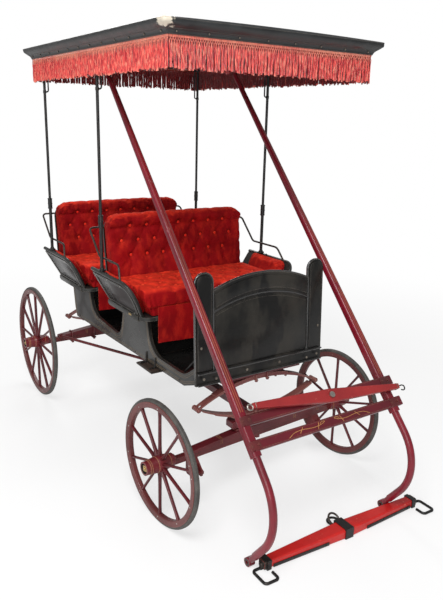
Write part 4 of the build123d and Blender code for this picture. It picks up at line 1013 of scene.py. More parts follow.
class SURREY_OT_dash(bpy.types.Operator):
    """Finishes the dash and adds its padded fields, stitches, base rail and bolts"""

    bl_idname = "surrey.dash"
    bl_label = "Dash"

    def execute(self, context):
        finish_nodes("dash", "dash")
        finish_nodes("rim", "dash_mouldings")
        place = dash_place()
        piece("dash_padding", self.fields(place), "dash", angle=50)
        beads = Shape()
        for y, radius in ((0.0605, 0.0042), (0.0040, 0.0034)):
            beads.tube([place @ Vector((x, y, 0.0120)) for x in (-0.372, 0.0, 0.372)], radius)
        piece("dash_base_beads", beads, "rim")
        piece("dash_stitches", self.stitches(place), "strap")
        piece("dash_bolts", self.bolts(place), "old_steel")
        return {"FINISHED"}

    @staticmethod
    def fields(place):
        """Two wings, the low field and the arched one over it, all raised a little."""
        shape = Shape()
        shape.plate(rounded(WING, [0.004, 0.004, 0.038, 0.038], 8, closed=True), place, 0.0048, 0.0022)
        shape.mirrored()
        low = reversed(through(FIELD_HALF, 0.330, 0.386))
        shape.plate([(FIELD_HALF, FIELD_LOW), *low, (-FIELD_HALF, FIELD_LOW)], place, 0.0032, 0.0014)
        arch = through(FIELD_HALF, 0.358, 0.415) + through(FIELD_HALF, 0.424, 0.481)[::-1]
        shape.plate(arch, place, 0.0046, 0.0020)
        return shape

    @staticmethod
    def stitches(place):
        """Dashes along the wings' edges and both sides of the ridge between the fields."""
        wing = rounded(WING_STITCHES, [0, 0.033, 0.033, 0], 6)
        lines = [wing, [Vector((-point.x, point.y, point.z)) for point in wing]]
        for low, high, drop, proud in ((0.330, 0.384, -0.006, 0.0036), (0.358, 0.414, 0.006, 0.0050)):
            lines.append([Vector((x, z + drop, proud)) for x, z in through(0.266, low, high)])
        dashes = []
        for line in lines:
            walked = 0.0
            for start, end in zip(line, line[1:]):
                run = (end - start).length
                along = (end - start) / run
                while walked < run:
                    stop = min(walked + STITCH, run)
                    if stop - walked > SHORTEST_STITCH:
                        dashes.append([place @ (start + along * distance) for distance in (walked, stop)])
                    walked += STITCH + STITCH_GAP
                walked -= run
        shape = Shape()
        shape.tubes(dashes, 0.0007, depth=0)
        return shape

    @staticmethod
    def bolts(place):
        shape = Shape()
        out = place.to_3x3().col[2]
        for x, z, proud in DASH_BOLTS:
            for side in (-1, 1):
                spot = place @ Vector((side * x, z, proud))
                shape.pin(spot + out * 0.0008, out, 0.0064, 0.0014, 18)
                shape.ball(spot + out * 0.0012, out, 0.0045, 0.0032, 12, 4)
        return shape


# Seats: arm boards, rails and irons
ARM_OUTLINE = (
    # back along the arm, up its slope, corner radius
    (0.054, 0.006, 0.006), (-0.005, 0.120, 0.150), (-0.015, ARM_SLANT - 0.004, 0.050),
    (0.396, ARM_SLANT - 0.004, 0.012), (0.413, 0.006, 0.006),
)
ARM_FIELD = (
    (0.078, 0.026, 0.004), (0.026, 0.122, 0.150), (0.012, ARM_SLANT - 0.026, 0.034),
    (0.372, ARM_SLANT - 0.026, 0.006), (0.386, 0.026, 0.004),
)
ARM_SCREWS = (
    # back along the arm, up its slope
    (0.100, 0.012), (0.250, 0.012), (0.390, 0.012), (0.060, ARM_SLANT - 0.014), (0.220, ARM_SLANT - 0.014),
    (0.380, ARM_SLANT - 0.014),
)


class SURREY_OT_seat_arms(bpy.types.Operator):
    """Finishes the seat arms and adds their framed side panels and rail screws"""

    bl_idname = "surrey.seat_arms"
    bl_label = "Seat arms"

    def execute(self, context):
        finish_nodes("trim", "front_seat_sides", "rear_seat_sides")
        finish_nodes("box", "front_back_board", "rear_back_board")
        finish_nodes("seat_iron", "seat_irons")
        outline, field = (
            rounded([(x, y, 0) for x, y, _ in rows], [row[2] for row in rows], 8, closed=True)
            for rows in (ARM_OUTLINE, ARM_FIELD)
        )
        for name, seat_y, board_z in SEATS:
            frames, fields, screws, feet = (Shape() for _ in range(4))
            place = arm_place(seat_y, board_z)
            frames.plate(outline, place @ Matrix.Translation((0, 0, 0.0117)), 0.0052, 0.0012, 0.020, 0.0044)
            fields.plate(field, place @ Matrix.Translation((0, 0, 0.0119)), 0.0024, 0.0010)
            for x, y in ARM_SCREWS:
                screws.ball(place @ Vector((x, y, 0.0169)), place.to_3x3().col[2], 0.0042, 0.0018, 10, 3)
            for label, shape, paint in (("frames", frames, "trim"), ("panels", fields, "arm"),
                                        ("screws", screws, "steel")):
                shape.mirrored()
                piece(f"{name}_arm_{label}", shape, paint)
            for x in (-0.5195, 0.5195):
                foot = (x, seat_y + 0.0520, board_z + ARM_HEIGHT + 0.0090)
                feet.pin(foot, (0, 0.1, 1), 0.0095, 0.006, 16, edge=0.001)
            piece(f"{name}_iron_feet", feet, "seat_iron")
        return {"FINISHED"}


# Velvet
VOXEL = 0.0072
BACK_LEAN = 0.062 / 0.478
BACK_ROWS = (
    # height, buttons
    (1.240, 7), (1.160, 8), (1.080, 7),
)
SEAT_ROWS = (
    # back from the board's front edge, buttons
    (0.062, 7), (0.140, 8), (0.218, 7), (0.290, 8),
)
CLOTH_FRAMES = 20
CLOTH = {
    "quality": 4, "mass": 0.25, "use_pressure": True, "uniform_pressure_force": 4.0, "tension_stiffness": 22.0,
    "compression_stiffness": 22.0, "shear_stiffness": 9.0, "bending_stiffness": 2.5, "shrink_min": -0.012,
    "vertex_group_mass": "held",
}


def islands(node):
    """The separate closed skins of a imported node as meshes, widest first."""
    whole = bmesh.new()
    whole.from_mesh(NODES[node].data)
    bmesh.ops.remove_doubles(whole, verts=whole.verts, dist=1e-6)
    whole.verts.index_update()
    seen, parts = set(), []
    for start in whole.verts:
        if start in seen:
            continue
        group, found = set(), [start]
        while found:
            vert = found.pop()
            if vert not in group:
                group.add(vert)
                found += [edge.other_vert(vert) for edge in vert.link_edges]
        seen |= group
        kept = {vert.index for vert in group}
        part = whole.copy()
        bmesh.ops.delete(part, geom=[vert for vert in part.verts if vert.index not in kept], context="VERTS")
        mesh = bpy.data.meshes.new(node)
        part.to_mesh(mesh)
        part.free()
        mesh.transform(Matrix.Translation((0, MIDDLE_Y, 0)))
        parts.append(mesh)
    whole.free()

    def order(mesh):
        across = [vert.co.x for vert in mesh.vertices]
        return min(across) - max(across), sum(across)
    return sorted(parts, key=order)


def evaluated(obj):
    """The mesh of a passing object after its modifiers."""
    graph = bpy.context.evaluated_depsgraph_get()
    result = bpy.data.meshes.new_from_object(obj.evaluated_get(graph), depsgraph=graph)
    bpy.data.objects.remove(obj)
    return result


def skinned(mesh, rounds):
    """An even skin over the mesh, smoothed a number of rounds."""
    obj = add_object("remesh", mesh)
    modifier = obj.modifiers.new("remesh", "REMESH")
    modifier.mode = "VOXEL"
    modifier.voxel_size = VOXEL
    skin = evaluated(obj)
    bm = bmesh.new()
    bm.from_mesh(skin)
    for _ in range(rounds):
        bmesh.ops.smooth_vert(bm, verts=bm.verts, factor=0.5, use_axis_x=True, use_axis_y=True, use_axis_z=True)
    bm.to_mesh(skin)
    bm.free()
    return skin


class Tuft:
    """Buttons on one face of a cushion, and the folds that run between them."""

    def __init__(self, spots, axis, pitch, depth, fold):
        self.spots = [Vector(spot) for spot in spots]
        self.axis = Vector(axis).normalized()
        self.depth, self.fold = depth, fold
        self.lines = [
            (a, b) for index, a in enumerate(self.spots) for b in self.spots[index + 1:]
            if (a - b).length < pitch * 1.18 and abs(self.flat(a - b).normalized().x) < 0.93
        ]

    def flat(self, vector):
        return vector - self.axis * vector.dot(self.axis)

    def sink(self, point):
        """How deep the velvet is drawn in at a point, and how far the nearest button is."""
        near = min(self.flat(point - spot).length for spot in self.spots)
        depth = self.depth * (math.exp(-(near / 0.0125) ** 2) * 0.6 + math.exp(-(near / 0.030) ** 2) * 0.4)
        for a, b in self.lines:
            run = self.flat(b - a)
            gone = self.flat(point - a).dot(run) / run.length_squared
            if -0.1 < gone < 1.1:
                off = (self.flat(point - a) - run * gone).length
                depth = max(depth, self.fold * math.exp(-(off / 0.007) ** 2))
        return depth, near


def tufted(mesh, tuft, held, shrink, seed):
    """Draws a skin in at its buttons and folds; gives the points that the cloth is held by."""
    work = bmesh.new()
    work.from_mesh(mesh)
    work.normal_update()
    pinned, offsets, drawn_in_shade = [], [], []
    for vert in work.verts:
        faces = tuft is not None and vert.normal.dot(tuft.axis) > 0.45
        push, near = tuft.sink(vert.co) if faces else (0.0, 1.0)
        drawn_in_shade.append(min(1.0, push / (tuft.depth * 0.8)) if tuft else 0.0)
        fixed = held(vert.co, vert.normal)
        ripple = 0.0012 * noise.noise(vert.co * 22.0 + Vector((seed, 0, 0)))
        offset = vert.normal * (0.0 if fixed else ripple - shrink)
        offsets.append(offset - tuft.axis * push if faces else offset)
        if fixed or near < 0.0095:
            pinned.append(vert.index)
    for vert, offset in zip(work.verts, offsets):
        vert.co += offset
    work.to_mesh(mesh)
    work.free()
    # How far each point is drawn in, stored as the mask of the painted shade in the dimples.
    mesh.attributes.new("drawn_in_shade", "FLOAT", "POINT").data.foreach_set("value", drawn_in_shade)
    return pinned


def stuffed(mesh, tuft, held, swell, shrink, seed):
    """Swells a skin round its buttons by cloth under pressure, and caps how far it moves."""
    pinned = tufted(mesh, tuft, held, shrink, seed)
    obj = add_object("stuffing", mesh)
    obj.vertex_groups.new(name="held").add(pinned, 1.0, "REPLACE")
    cloth = obj.modifiers.new("cloth", "CLOTH")
    for label, value in CLOTH.items():
        setattr(cloth.settings, label, value)
    cloth.settings.effector_weights.gravity = 0
    cloth.collision_settings.use_collision = False
    cloth.point_cache.frame_start, cloth.point_cache.frame_end = 1, CLOTH_FRAMES
    scene = bpy.context.scene
    for number in range(1, CLOTH_FRAMES + 1):
        scene.frame_set(number)
    final = evaluated(obj)
    for before, after in zip(mesh.vertices, final.vertices):
        move = after.co - before.co
        if move.length > swell:
            after.co = before.co + move * (swell / move.length)
    scene.frame_set(1)
    return final


def button_heads(name, mesh, spots, axis):
    """Covered buttons seated where the velvet is drawn in."""
    tree = tree_of(mesh)
    shape = Shape()
    for spot in spots:
        point = tree.ray_cast(spot + axis * 0.2, -axis)[0]
        if point is not None:
            shape.ball(point + axis * 0.0018, axis, 0.0096, 0.0060, 14, 4)
    # The buttons' brighter velvet is a painted highlight.
    piece(name, shape, "button")


def padded_piece(name, mesh, node):
    """A velvet piece with a fine surface from one level of subdivision."""
    obj = piece(name, mesh, "velvet", [node], angle=180)
    modifier = obj.modifiers.new("subdivision", "SUBSURF")
    modifier.levels = modifier.render_levels = 1


class SURREY_OT_cushions(bpy.types.Operator):
    """Seat and back cushions and arm pads: buttoned velvet, swelled by a cloth simulation"""

    bl_idname = "surrey.cushions"
    bl_label = "Cushions"

    def execute(self, context):
        sizes = context.scene.surrey_sizes
        (_, seat_y, board_z), (_, rear_y, rear_z) = SEATS
        to_rear = Matrix.Translation((0, rear_y - seat_y, rear_z - board_z))
        skins = islands("front_back_cushion")

        tuft = self.back_tuft(sizes, seat_y, board_z)
        back = skinned(skins[0], 3)
        self.crumple(back, board_z)
        back = stuffed(back, tuft, lambda co, n: n.y > 0.6 or n.z < -0.6, sizes.swell, 0.006, 3.0)
        self.settle("back_cushion", back, tuft, to_rear, 0.8)

        tuft = self.seat_tuft(sizes, seat_y, board_z)
        seat = skinned(islands("front_seat_cushion")[0], 4)
        self.gather(seat, seat_y)
        seat = stuffed(seat, tuft, lambda co, n: n.z < -0.6 or n.y > 0.8, sizes.swell, 0.005, 7.0)
        self.settle("seat_cushion", seat, tuft, to_rear, 0.75)

        for number, (skin, side) in enumerate(zip(skins[1:], ("right", "left"))):
            inner = 1 if side == "right" else -1
            skin = skinned(skin, 3)
            pad = stuffed(skin, None, lambda co, n: n.x * inner < -0.5 or n.z < -0.7, 0.010, 0.003, 11.0 + number)
            for name, move in (("front", IDENTITY), ("rear", to_rear)):
                copy = pad.copy()
                copy.transform(move)
                padded_piece(f"{name}_arm_pad_{side}", copy, f"{name}_back_cushion")
        return {"FINISHED"}

    @staticmethod
    def rows(table, pitch, place):
        """The buttons of the rows, each row centred; place() puts x and the row's own measure in space."""
        return [
            place((number - (count - 1) / 2) * pitch, measure)
            for measure, count in table for number in range(count)
        ]

    def back_tuft(self, sizes, seat_y, board_z):
        """The back's buttons, with folds up from the top row and down from the bottom one."""
        def place(x, z):
            return (x, seat_y + 0.330 + BACK_LEAN * (z - board_z), z)

        lean = math.atan(BACK_LEAN)
        spots = self.rows(BACK_ROWS, sizes.tuft_pitch, place)
        tuft = Tuft(spots, (0, -math.cos(lean), math.sin(lean)), sizes.tuft_pitch, sizes.tuft_depth, 0.0052)
        tuft.lines += [(spot, spot + Vector((0.004, 0.004, 0.034))) for spot in tuft.spots[:BACK_ROWS[0][1]]]
        tuft.lines += [(spot, spot - Vector((0.006, 0.008, 0.066))) for spot in tuft.spots[-BACK_ROWS[-1][1]:]]
        return tuft

    def seat_tuft(self, sizes, seat_y, board_z):
        spots = self.rows(SEAT_ROWS, sizes.tuft_pitch, lambda x, y: (x, seat_y + y, board_z + 0.150))
        return Tuft(spots, UP, sizes.tuft_pitch, sizes.tuft_depth * 0.75, 0.0045)

    @staticmethod
    def crumple(mesh, board_z):
        """Bunches the velvet at both ends of the rolled top."""
        for vert in mesh.vertices:
            ends = share(abs(vert.co.x), 0.300, 0.080) * share(vert.co.z, board_z + 0.395, 0.030)
            fold = noise.noise(Vector((vert.co.x * 30.0, vert.co.y * 24.0, vert.co.z * 48.0)))
            vert.co += vert.normal * (0.0080 * ends * (abs(fold) - 0.3))

    @staticmethod
    def gather(mesh, seat_y):
        """Draws the velvet into small folds down the cushion's front corners."""
        for vert in mesh.vertices:
            near_front = max(0.0, 1.0 - abs(vert.co.y - (seat_y - 0.010)) / 0.070)
            near_end = max(0.0, 1.0 - abs(abs(vert.co.x) - 0.385) / 0.070)
            fold = math.sin(vert.co.x * 240.0 + vert.co.z * 38.0) * 0.0060
            vert.co.y += fold * near_front * near_end * (1.0 - share(vert.co.z, 0.840, 0.120))

    @staticmethod
    def settle(kind, mesh, tuft, to_rear, fill):
        """The front cushion and its buttons, and the same turned over for the rear seat."""
        mirror = to_rear @ Matrix.Diagonal((-1, 1, 1, 1))
        rear = mesh.copy()
        rear.transform(mirror)
        rear.flip_normals()
        button_heads(f"front_{kind}_buttons", mesh, tuft.spots, tuft.axis)
        button_heads(f"rear_{kind}_buttons", rear, [mirror @ spot for spot in tuft.spots], tuft.axis)
        for name, skin in (("front", mesh), ("rear", rear)):
            padded_piece(f"{name}_{kind}", skin, f"{name}_{kind}")


class SURREY_OT_falls(bpy.types.Operator):
    """Velvet falls that hang in front of the seats, with a hem"""

    bl_idname = "surrey.falls"
    bl_label = "Falls"

    def execute(self, context):
        depth = context.scene.surrey_sizes.fall_fold
        for index, (name, seat_y, board_z) in enumerate(SEATS):
            shape = Shape()
            low, high = board_z - 0.142, board_z + 0.050
            place = Matrix.Translation((0, seat_y - 0.0045, (low + high) / 2))
            place = place @ Matrix.Rotation(QUARTER_TURN, 4, "X")
            for vert in shape.grid(0.674, high - low, 90, 28, place):
                x, _, z = vert.co
                down = max(0.0, (high - z) / (high - low))
                wave = math.sin(x * 21.0 + index * 2.0) + 0.6 * math.sin(x * 47.0 + index)
                crease = noise.noise(Vector((x * 9.0, index * 5.0, z * 5.0)))
                vert.co.y -= depth * (0.5 + 0.5 * wave * 0.6) * down ** 1.4 + 0.0020 * abs(crease)
                vert.co.z += 0.0030 * math.sin(x * 15.0 + index) * down ** 3
            edge = [item for item in shape.bm.edges if item.is_boundary]
            hem = bmesh.ops.extrude_edge_only(shape.bm, edges=edge)["geom"]
            bmesh.ops.translate(shape.bm, vec=(0, 0.0022, 0), verts=only(BMVert, hem))
            obj = piece(f"{name}_fall", shape, "velvet", [f"{name}_fall"], angle=60)
            thick = obj.modifiers.new("cloth", "SOLIDIFY")
            thick.thickness = 0.0022
            thick.offset = 0.0
        return {"FINISHED"}


# Standing top
POST_RINGS = (
    # x, height, radius, length, sides
    (POST_X, 1.262, 0.0140, 0.005, 20), (POST_X, 1.290, 0.0140, 0.005, 20), (POST_X, 1.318, 0.0140, 0.005, 20),
    (POST_X, 1.930, 0.0092, 0.016, 16), (0.493, 2.104, 0.0085, 0.010, 14), (POST_X, 2.104, 0.0140, 0.010, 16),
)


class SURREY_OT_posts(bpy.types.Operator):
    """Finishes the posts and adds their feet, straps and joint rings"""

    bl_idname = "surrey.posts"
    bl_label = "Posts"

    def execute(self, context):
        finish_nodes("iron", "posts")
        shape = Shape()
        for y, foot in ((0.700, 1.032), (1.460, 1.005)):
            shape.pin((POST_X, y, foot + 0.012), UP, 0.0130, 0.012, 20, 0.0105, 0.001)
            shape.pin((POST_X, y, foot + 0.003), UP, 0.0200, 0.004, 24, edge=0.001)
            shape.box((POST_X, y - 0.034, foot - 0.0035), (0.017, 0.062, 0.0035), 0.0012)
            shape.pin((POST_X, y - 0.064, foot - 0.0035), UP, 0.0085, 0.0036, 16)
            shape.bolt((POST_X, y - 0.054, foot - 0.0020), UP, 0.0050, 0.005)
            for x, height, radius, length, sides in POST_RINGS:
                shape.pin((x, y, height), UP, radius, length, sides, edge=0.0012)
        shape.mirrored()
        piece("post_fittings", shape, "iron")
        return {"FINISHED"}


BAND_PROFILE = (
    # inset, height over the rail
    (0.0055, 0.0535), (0.0015, 0.0500), (0.0000, 0.0455), (0.0025, 0.0395), (0.0075, 0.0335), (0.0135, 0.0280),
    (0.0195, 0.0230), (0.0250, 0.0186), (0.0262, 0.0176), (0.0290, 0.0160), (0.0330, 0.0120), (0.0365, 0.0075),
    (0.0385, 0.0030), (0.0395, -0.0010), (0.0425, -0.0022), (0.0450, -0.0010),
)
PIPING = (
    # inset, height over the rail, radius
    (0.0256, 0.0186, 0.0016), (0.0388, 0.0012, 0.0018), (0.0008, 0.0500, 0.0013),
)
ROOF_INSET, CORNER_ROUND, BOW_FIRST, BOW_PITCH = 0.010, 0.016, -0.039, 1.592 / 6


def top_half(inset):
    """Half the top's width and half its length, drawn in from its widest."""
    return TOP_HALF + TOP_FLARE - inset, TOP_HALF_Y + TOP_FLARE - inset


class SURREY_OT_top(bpy.types.Operator):
    """The leather top: a stretched cover with a flared, bound and nailed edge"""

    bl_idname = "surrey.top"
    bl_label = "Leather top"

    def execute(self, context):
        finish_nodes("wood", "top_frame")
        sizes = context.scene.surrey_sizes
        shape = Shape()
        half_x, half_y = top_half(ROOF_INSET)
        place = Matrix.Translation((0, TOP_MIDDLE, TOP_RAIL + TOP_BAND + 0.0032))
        roof = shape.grid(2 * half_x, 2 * half_y, 100, 144, place)
        edges = [edge for edge in shape.bm.edges if edge.is_boundary]
        rings = []
        for inset, height in BAND_PROFILE:
            made = bmesh.ops.extrude_edge_only(shape.bm, edges=edges)["geom"]
            verts, edges = only(BMVert, made), only(BMEdge, made)
            last_x, last_y = half_x, half_y
            half_x, half_y = top_half(inset)
            for vert in verts:
                vert.co.x *= half_x / last_x
                vert.co.y = TOP_MIDDLE + (vert.co.y - TOP_MIDDLE) * half_y / last_y
                vert.co.z = TOP_RAIL + height
            rings.append((verts, height))
        self.crown(roof)
        self.wrinkles(rings, sizes.wrinkle)
        self.round_corners(shape.bm.verts)
        top = piece("leather_top", shape, "top", ["top_cover"], angle=70)
        thick = top.modifiers.new("hide", "SOLIDIFY")
        thick.thickness = 0.0024
        thick.offset = -1.0
        trim = [self.piping(), self.nails(sizes.nail_pitch), self.lining()]
        return {"FINISHED"}

    @staticmethod
    def crown(verts):
        """Arches the roof across, tight over the bows and a little slack between them."""
        half_x, half_y = top_half(ROOF_INSET)
        for vert in verts:
            x, y, _ = vert.co
            arch = max(0.0, 1.0 - (x / half_x) ** 2)
            ends = share(half_y - abs(y - TOP_MIDDLE), 0.0, 0.09)
            slack = math.sin(math.pi * (y - BOW_FIRST) / BOW_PITCH) ** 2
            pull = 0.0012 * noise.noise(Vector((x * 6.0, y * 9.0, 3.0)))
            vert.co.z += 0.020 * arch * (0.30 + 0.70 * ends) - 0.0046 * slack * arch ** 0.5 * ends + pull * ends

    @staticmethod
    def wrinkles(rings, depth):
        """Slack folds that run slantwise down the band, most of them near the front corners."""
        low, high = 0.019, 0.053
        for verts, height in rings:
            if not low < height < high:
                continue
            middle = math.sin(math.pi * (height - low) / (high - low))
            for vert in verts:
                on_side = abs(vert.co.x) > TOP_HALF - 0.004 and abs(vert.co.y - TOP_MIDDLE) < 0.80
                slant = (vert.co.y if on_side else vert.co.x) + (height - 0.03) * 1.4
                fold = noise.noise(Vector((slant * 13.0, height * 14.0, 7.0 if on_side else 1.0)))
                fold += 0.7 * abs(noise.noise(Vector((slant * 34.0, height * 10.0, 2.0))))
                corner = math.hypot(abs(vert.co.x) - TOP_HALF, vert.co.y - TOP_FRONT)
                push = depth * middle * fold * (0.7 + 1.3 * max(0.0, 1.0 - corner / 0.45))
                if on_side:
                    vert.co.x += math.copysign(push, vert.co.x)
                else:
                    vert.co.y += math.copysign(push, vert.co.y - TOP_MIDDLE)

    @staticmethod
    def round_corners(verts):
        """Pulls what lies past each corner's arc back onto it."""
        widest_x, widest_y = top_half(CORNER_ROUND)
        for vert in verts:
            over_x = abs(vert.co.x) - widest_x
            over_y = abs(vert.co.y - TOP_MIDDLE) - widest_y
            if over_x > 0 and over_y > 0:
                length = math.hypot(over_x, over_y)
                cut = max(0.0, length - CORNER_ROUND) / length
                vert.co.x -= math.copysign(over_x * cut, vert.co.x)
                vert.co.y -= math.copysign(over_y * cut, vert.co.y - TOP_MIDDLE)

    @staticmethod
    def ring(inset, height):
        """A rounded rectangle round the top, drawn in from its widest by the inset."""
        half_x, half_y = top_half(inset)
        front, rear, z = TOP_MIDDLE - half_y, TOP_MIDDLE + half_y, TOP_RAIL + height
        corners = ((-half_x, front, z), (half_x, front, z), (half_x, rear, z), (-half_x, rear, z))
        return rounded(corners, 0.014, 4, closed=True)

    def piping(self):
        shape = Shape()
        for inset, height, radius in PIPING:
            shape.tube(self.ring(inset, height), radius, closed=True, depth=1)
        return piece("top_piping", shape, "top")

    def nails(self, pitch):
        """Nails along the four straight sides, the first and the last a margin from the corners."""
        shape = Shape()
        path = self.ring(0.0330, 0.0100)
        margin, shortest_side = 0.03, 0.05
        for start, end in zip(path, path[1:] + path[:1]):
            run = (end - start).length
            if run < shortest_side:
                continue
            count = max(1, round((run - 2 * margin) / pitch))
            for number in range(count + 1):
                spot = start.lerp(end, (margin + (run - 2 * margin) * number / count) / run)
                on_side = abs(start.x - end.x) < 1e-4
                sideways = Vector((spot.x, 0, 0) if on_side else (0, spot.y - TOP_MIDDLE, 0))
                out = (sideways.normalized() + Vector((0, 0, -0.55))).normalized()
                shape.ball(spot + out * 0.0006, out, 0.0044, 0.0034, 12, 4)
        return piece("top_nails", shape, "old_steel")

    @staticmethod
    def lining():
        """The cloth under the roof, laid over the bows."""
        shape = Shape()
        place = Matrix.Translation((0, TOP_MIDDLE, TOP_RAIL + 0.0455))
        for vert in shape.grid(1.066, 1.588, 24, 36, place):
            vert.co.z += 0.015 * (1.0 - (vert.co.x / TOP_HALF) ** 2)
        bmesh.ops.solidify(shape.bm, geom=shape.bm.faces[:], thickness=0.0012)
        return piece("top_lining", shape, "strap")


# Fringe
HEADING = ((0.000, 0.5), (0.011, -0.5), (0.022, 0.5), (0.034, 0.1))
INNER_HEADING = ((0.0, 0.1), (0.03, 0.0))
TASSEL = (0.052, 0.076, 0.098)
KNOT, CORD_END = 0.72, 1.25


class SURREY_OT_fringe(bpy.types.Operator):
    """A knotted silk fringe on all four sides: a bright outer row over a dark inner one, dark partly by its own
    deeper dye and partly as painted shade
    """

    bl_idname = "surrey.fringe"
    bl_label = "Fringe"

    def execute(self, context):
        pitch = context.scene.surrey_sizes.fringe_pitch
        sides = (
            # name, along the side, out of it, from the middle to the side, half the row
            ("front", (1, 0, 0), (0, -1, 0), TOP_HALF_Y, TOP_HALF - 0.009),
            ("rear", (-1, 0, 0), (0, 1, 0), TOP_HALF_Y, TOP_HALF - 0.009),
            ("left", (0, 1, 0), (1, 0, 0), TOP_HALF, TOP_HALF_Y - 0.001),
            ("right", (0, -1, 0), (-1, 0, 0), TOP_HALF, TOP_HALF_Y - 0.001),
        )
        rng = random.Random(17)
        for name, along, out, reach, half in sides:
            along, out = Vector(along), Vector(out)
            centre = Vector((0, TOP_MIDDLE, 0)) + out * reach
            count = int(2 * half / pitch)
            clumps = [(rng.uniform(-0.0034, 0.0034), rng.uniform(0.0, 0.015)) for _ in range(count // 3 + 1)]
            feet = [centre + along * (half * (2 * (number + 0.5) / count - 1)) for number in range(count)]
            outer = [
                self.cord(rng, foot, along, out, pitch, number, clumps[number // 3])
                for number, foot in enumerate(feet)
            ]
            inner = [
                self.cord(rng, foot, along, out, pitch, number, clumps[-1 - number // 3], True)
                for number, foot in enumerate(feet)
            ]
            for label, paths, radius, knots, paint in (
                ("", outer, 0.0025, [KNOT] * 3 + [1.0], "fringe"),
                ("_inner", inner, 0.0026, [1.0] * 2, "fringe_inner"),
            ):
                shape = Shape()
                shape.tubes(paths, radius, depth=0, widths=[*knots, *[1.0] * len(TASSEL), CORD_END])
                piece(f"fringe_{name}{label}", shape, paint, ["fringe"], angle=80)
            band = Shape()
            heading = centre - out * 0.0035 + UP * (TOP_RAIL - 0.005)
            length_x, length_y = (abs(part) * 2 * half or 0.0055 for part in along.xy)
            band.box(heading, (length_x, length_y, 0.012), 0.0016)
            piece(f"fringe_{name}_heading", band, "fringe", ["fringe"])
        return {"FINISHED"}

    @staticmethod
    def cord(rng, foot, along, out, pitch, number, clump, inner=False):
        """One cord's path: crossed twice in the heading, then drawn into a tassel with a ragged end."""
        top = TOP_RAIL - 0.002
        sway = 1 if number % 2 else -1
        depth = 0.0060 if inner else 0.0016 + 0.0010 * (number % 3)
        lean, shorter = clump
        end = FRINGE_DROP - 0.003 - shorter * 0.7 - rng.uniform(0.0, 0.010)
        path = []
        for drop, aside in INNER_HEADING if inner else HEADING:
            inward = out * (depth + (0.0006 * sway if drop else 0))
            path.append(foot - inward + along * (sway * aside * pitch) + UP * (top - drop))
        to_clump = (1 - number % 3) * pitch * 0.28
        for drop in (*TASSEL, end):
            gone = share(drop, 0.034, 0.075)
            wander = to_clump * gone + lean * gone + rng.uniform(-0.0019, 0.0019)
            inward = out * (depth + rng.uniform(-0.0014, 0.0012))
            path.append(foot - inward + along * wander + UP * (top - drop))
        return path


# Shafts and trees
SCROLL_STROKES = (
    # points (x, up the crossbar) of each curl
    ((0.232, -0.0125), (0.223, -0.0098), (0.212, -0.0030), (0.198, 0.0020), (0.160, 0.0050), (0.125, 0.0010),
     (0.095, -0.0022), (0.066, -0.0006), (0.045, 0.0034), (0.028, 0.0088), (0.030, 0.0128), (0.040, 0.0136),
     (0.052, 0.0100), (0.056, 0.0060)),
    ((0.062, 0.0136), (0.066, 0.0), (0.074, -0.0136)),
    ((0.150, 0.0128), (0.160, 0.0020), (0.172, -0.0090)),
)
HEEL_BUSH = (
    # x, radius
    (-0.0152, 0.0080), (-0.0152, 0.0155), (-0.0143, 0.0165), (0.0143, 0.0165), (0.0152, 0.0155), (0.0152, 0.0080),
)


class SURREY_OT_shafts(bpy.types.Operator):
    """Finishes the shafts and crossbars and adds their plates, bolts, scroll lines and heel eyes"""

    bl_idname = "surrey.shafts"
    bl_label = "Shafts"

    def execute(self, context):
        finish_nodes("shaft", "shafts")
        finish_nodes("cross", "crossbars")
        plates, heels, scroll, lines = (Shape() for _ in range(4))
        face = shaft_place(CROSSBARS[0], 0.0252)
        for side in (-1, 1):
            heels.turned(HEEL_BUSH, Matrix.Translation((side * SHAFT_X, -0.508, 0.020)), 32)
            for stroke in SCROLL_STROKES:
                scroll.tube([face @ Vector((side * x, y, 0)) for x, y in stroke], 0.0010, depth=0, kind="NURBS")
            for run in CROSSBARS:
                place = shaft_place(run, 0.0262, side * SHAFT_X)
                plates.box((0, 0, 0), (0.054, 0.036, 0.0024), 0.0010, place)
                for x in (-0.017, 0.017):
                    plates.bolt(place @ Vector((x, 0, 0.0010)), OUTWARD, 0.0052, 0.0048)
                place = shaft_place(run, 0.0251)
                for y in (-0.0165, 0.0165):
                    ends = [place @ Vector((side * x, y, 0)) for x in (0.008, 0.2, 0.372)]
                    lines.tube(ends, 0.0005, depth=0)
        piece("shaft_plates", plates, "axle")
        piece("heel_bushes", heels, "seat_iron")
        piece("crossbar_scroll", scroll, "scroll")
        piece("crossbar_lines", lines, "body_line")
        return {"FINISHED"}


HOOK_PATH = (
    (0.392, 0.0, 0.0), (0.412, 0.0, 0.003), (0.428, 0.004, 0.006), (0.438, -0.004, 0.008),
    (0.436, -0.018, 0.008), (0.424, -0.024, 0.007), (0.414, -0.018, 0.006),
)
WEAR_PLATE = ((0.0, 0.0095), (0.0016, 0.0135), (0.0024, 0.0135), (0.0024, 0.0080), (0.0, 0.0080))


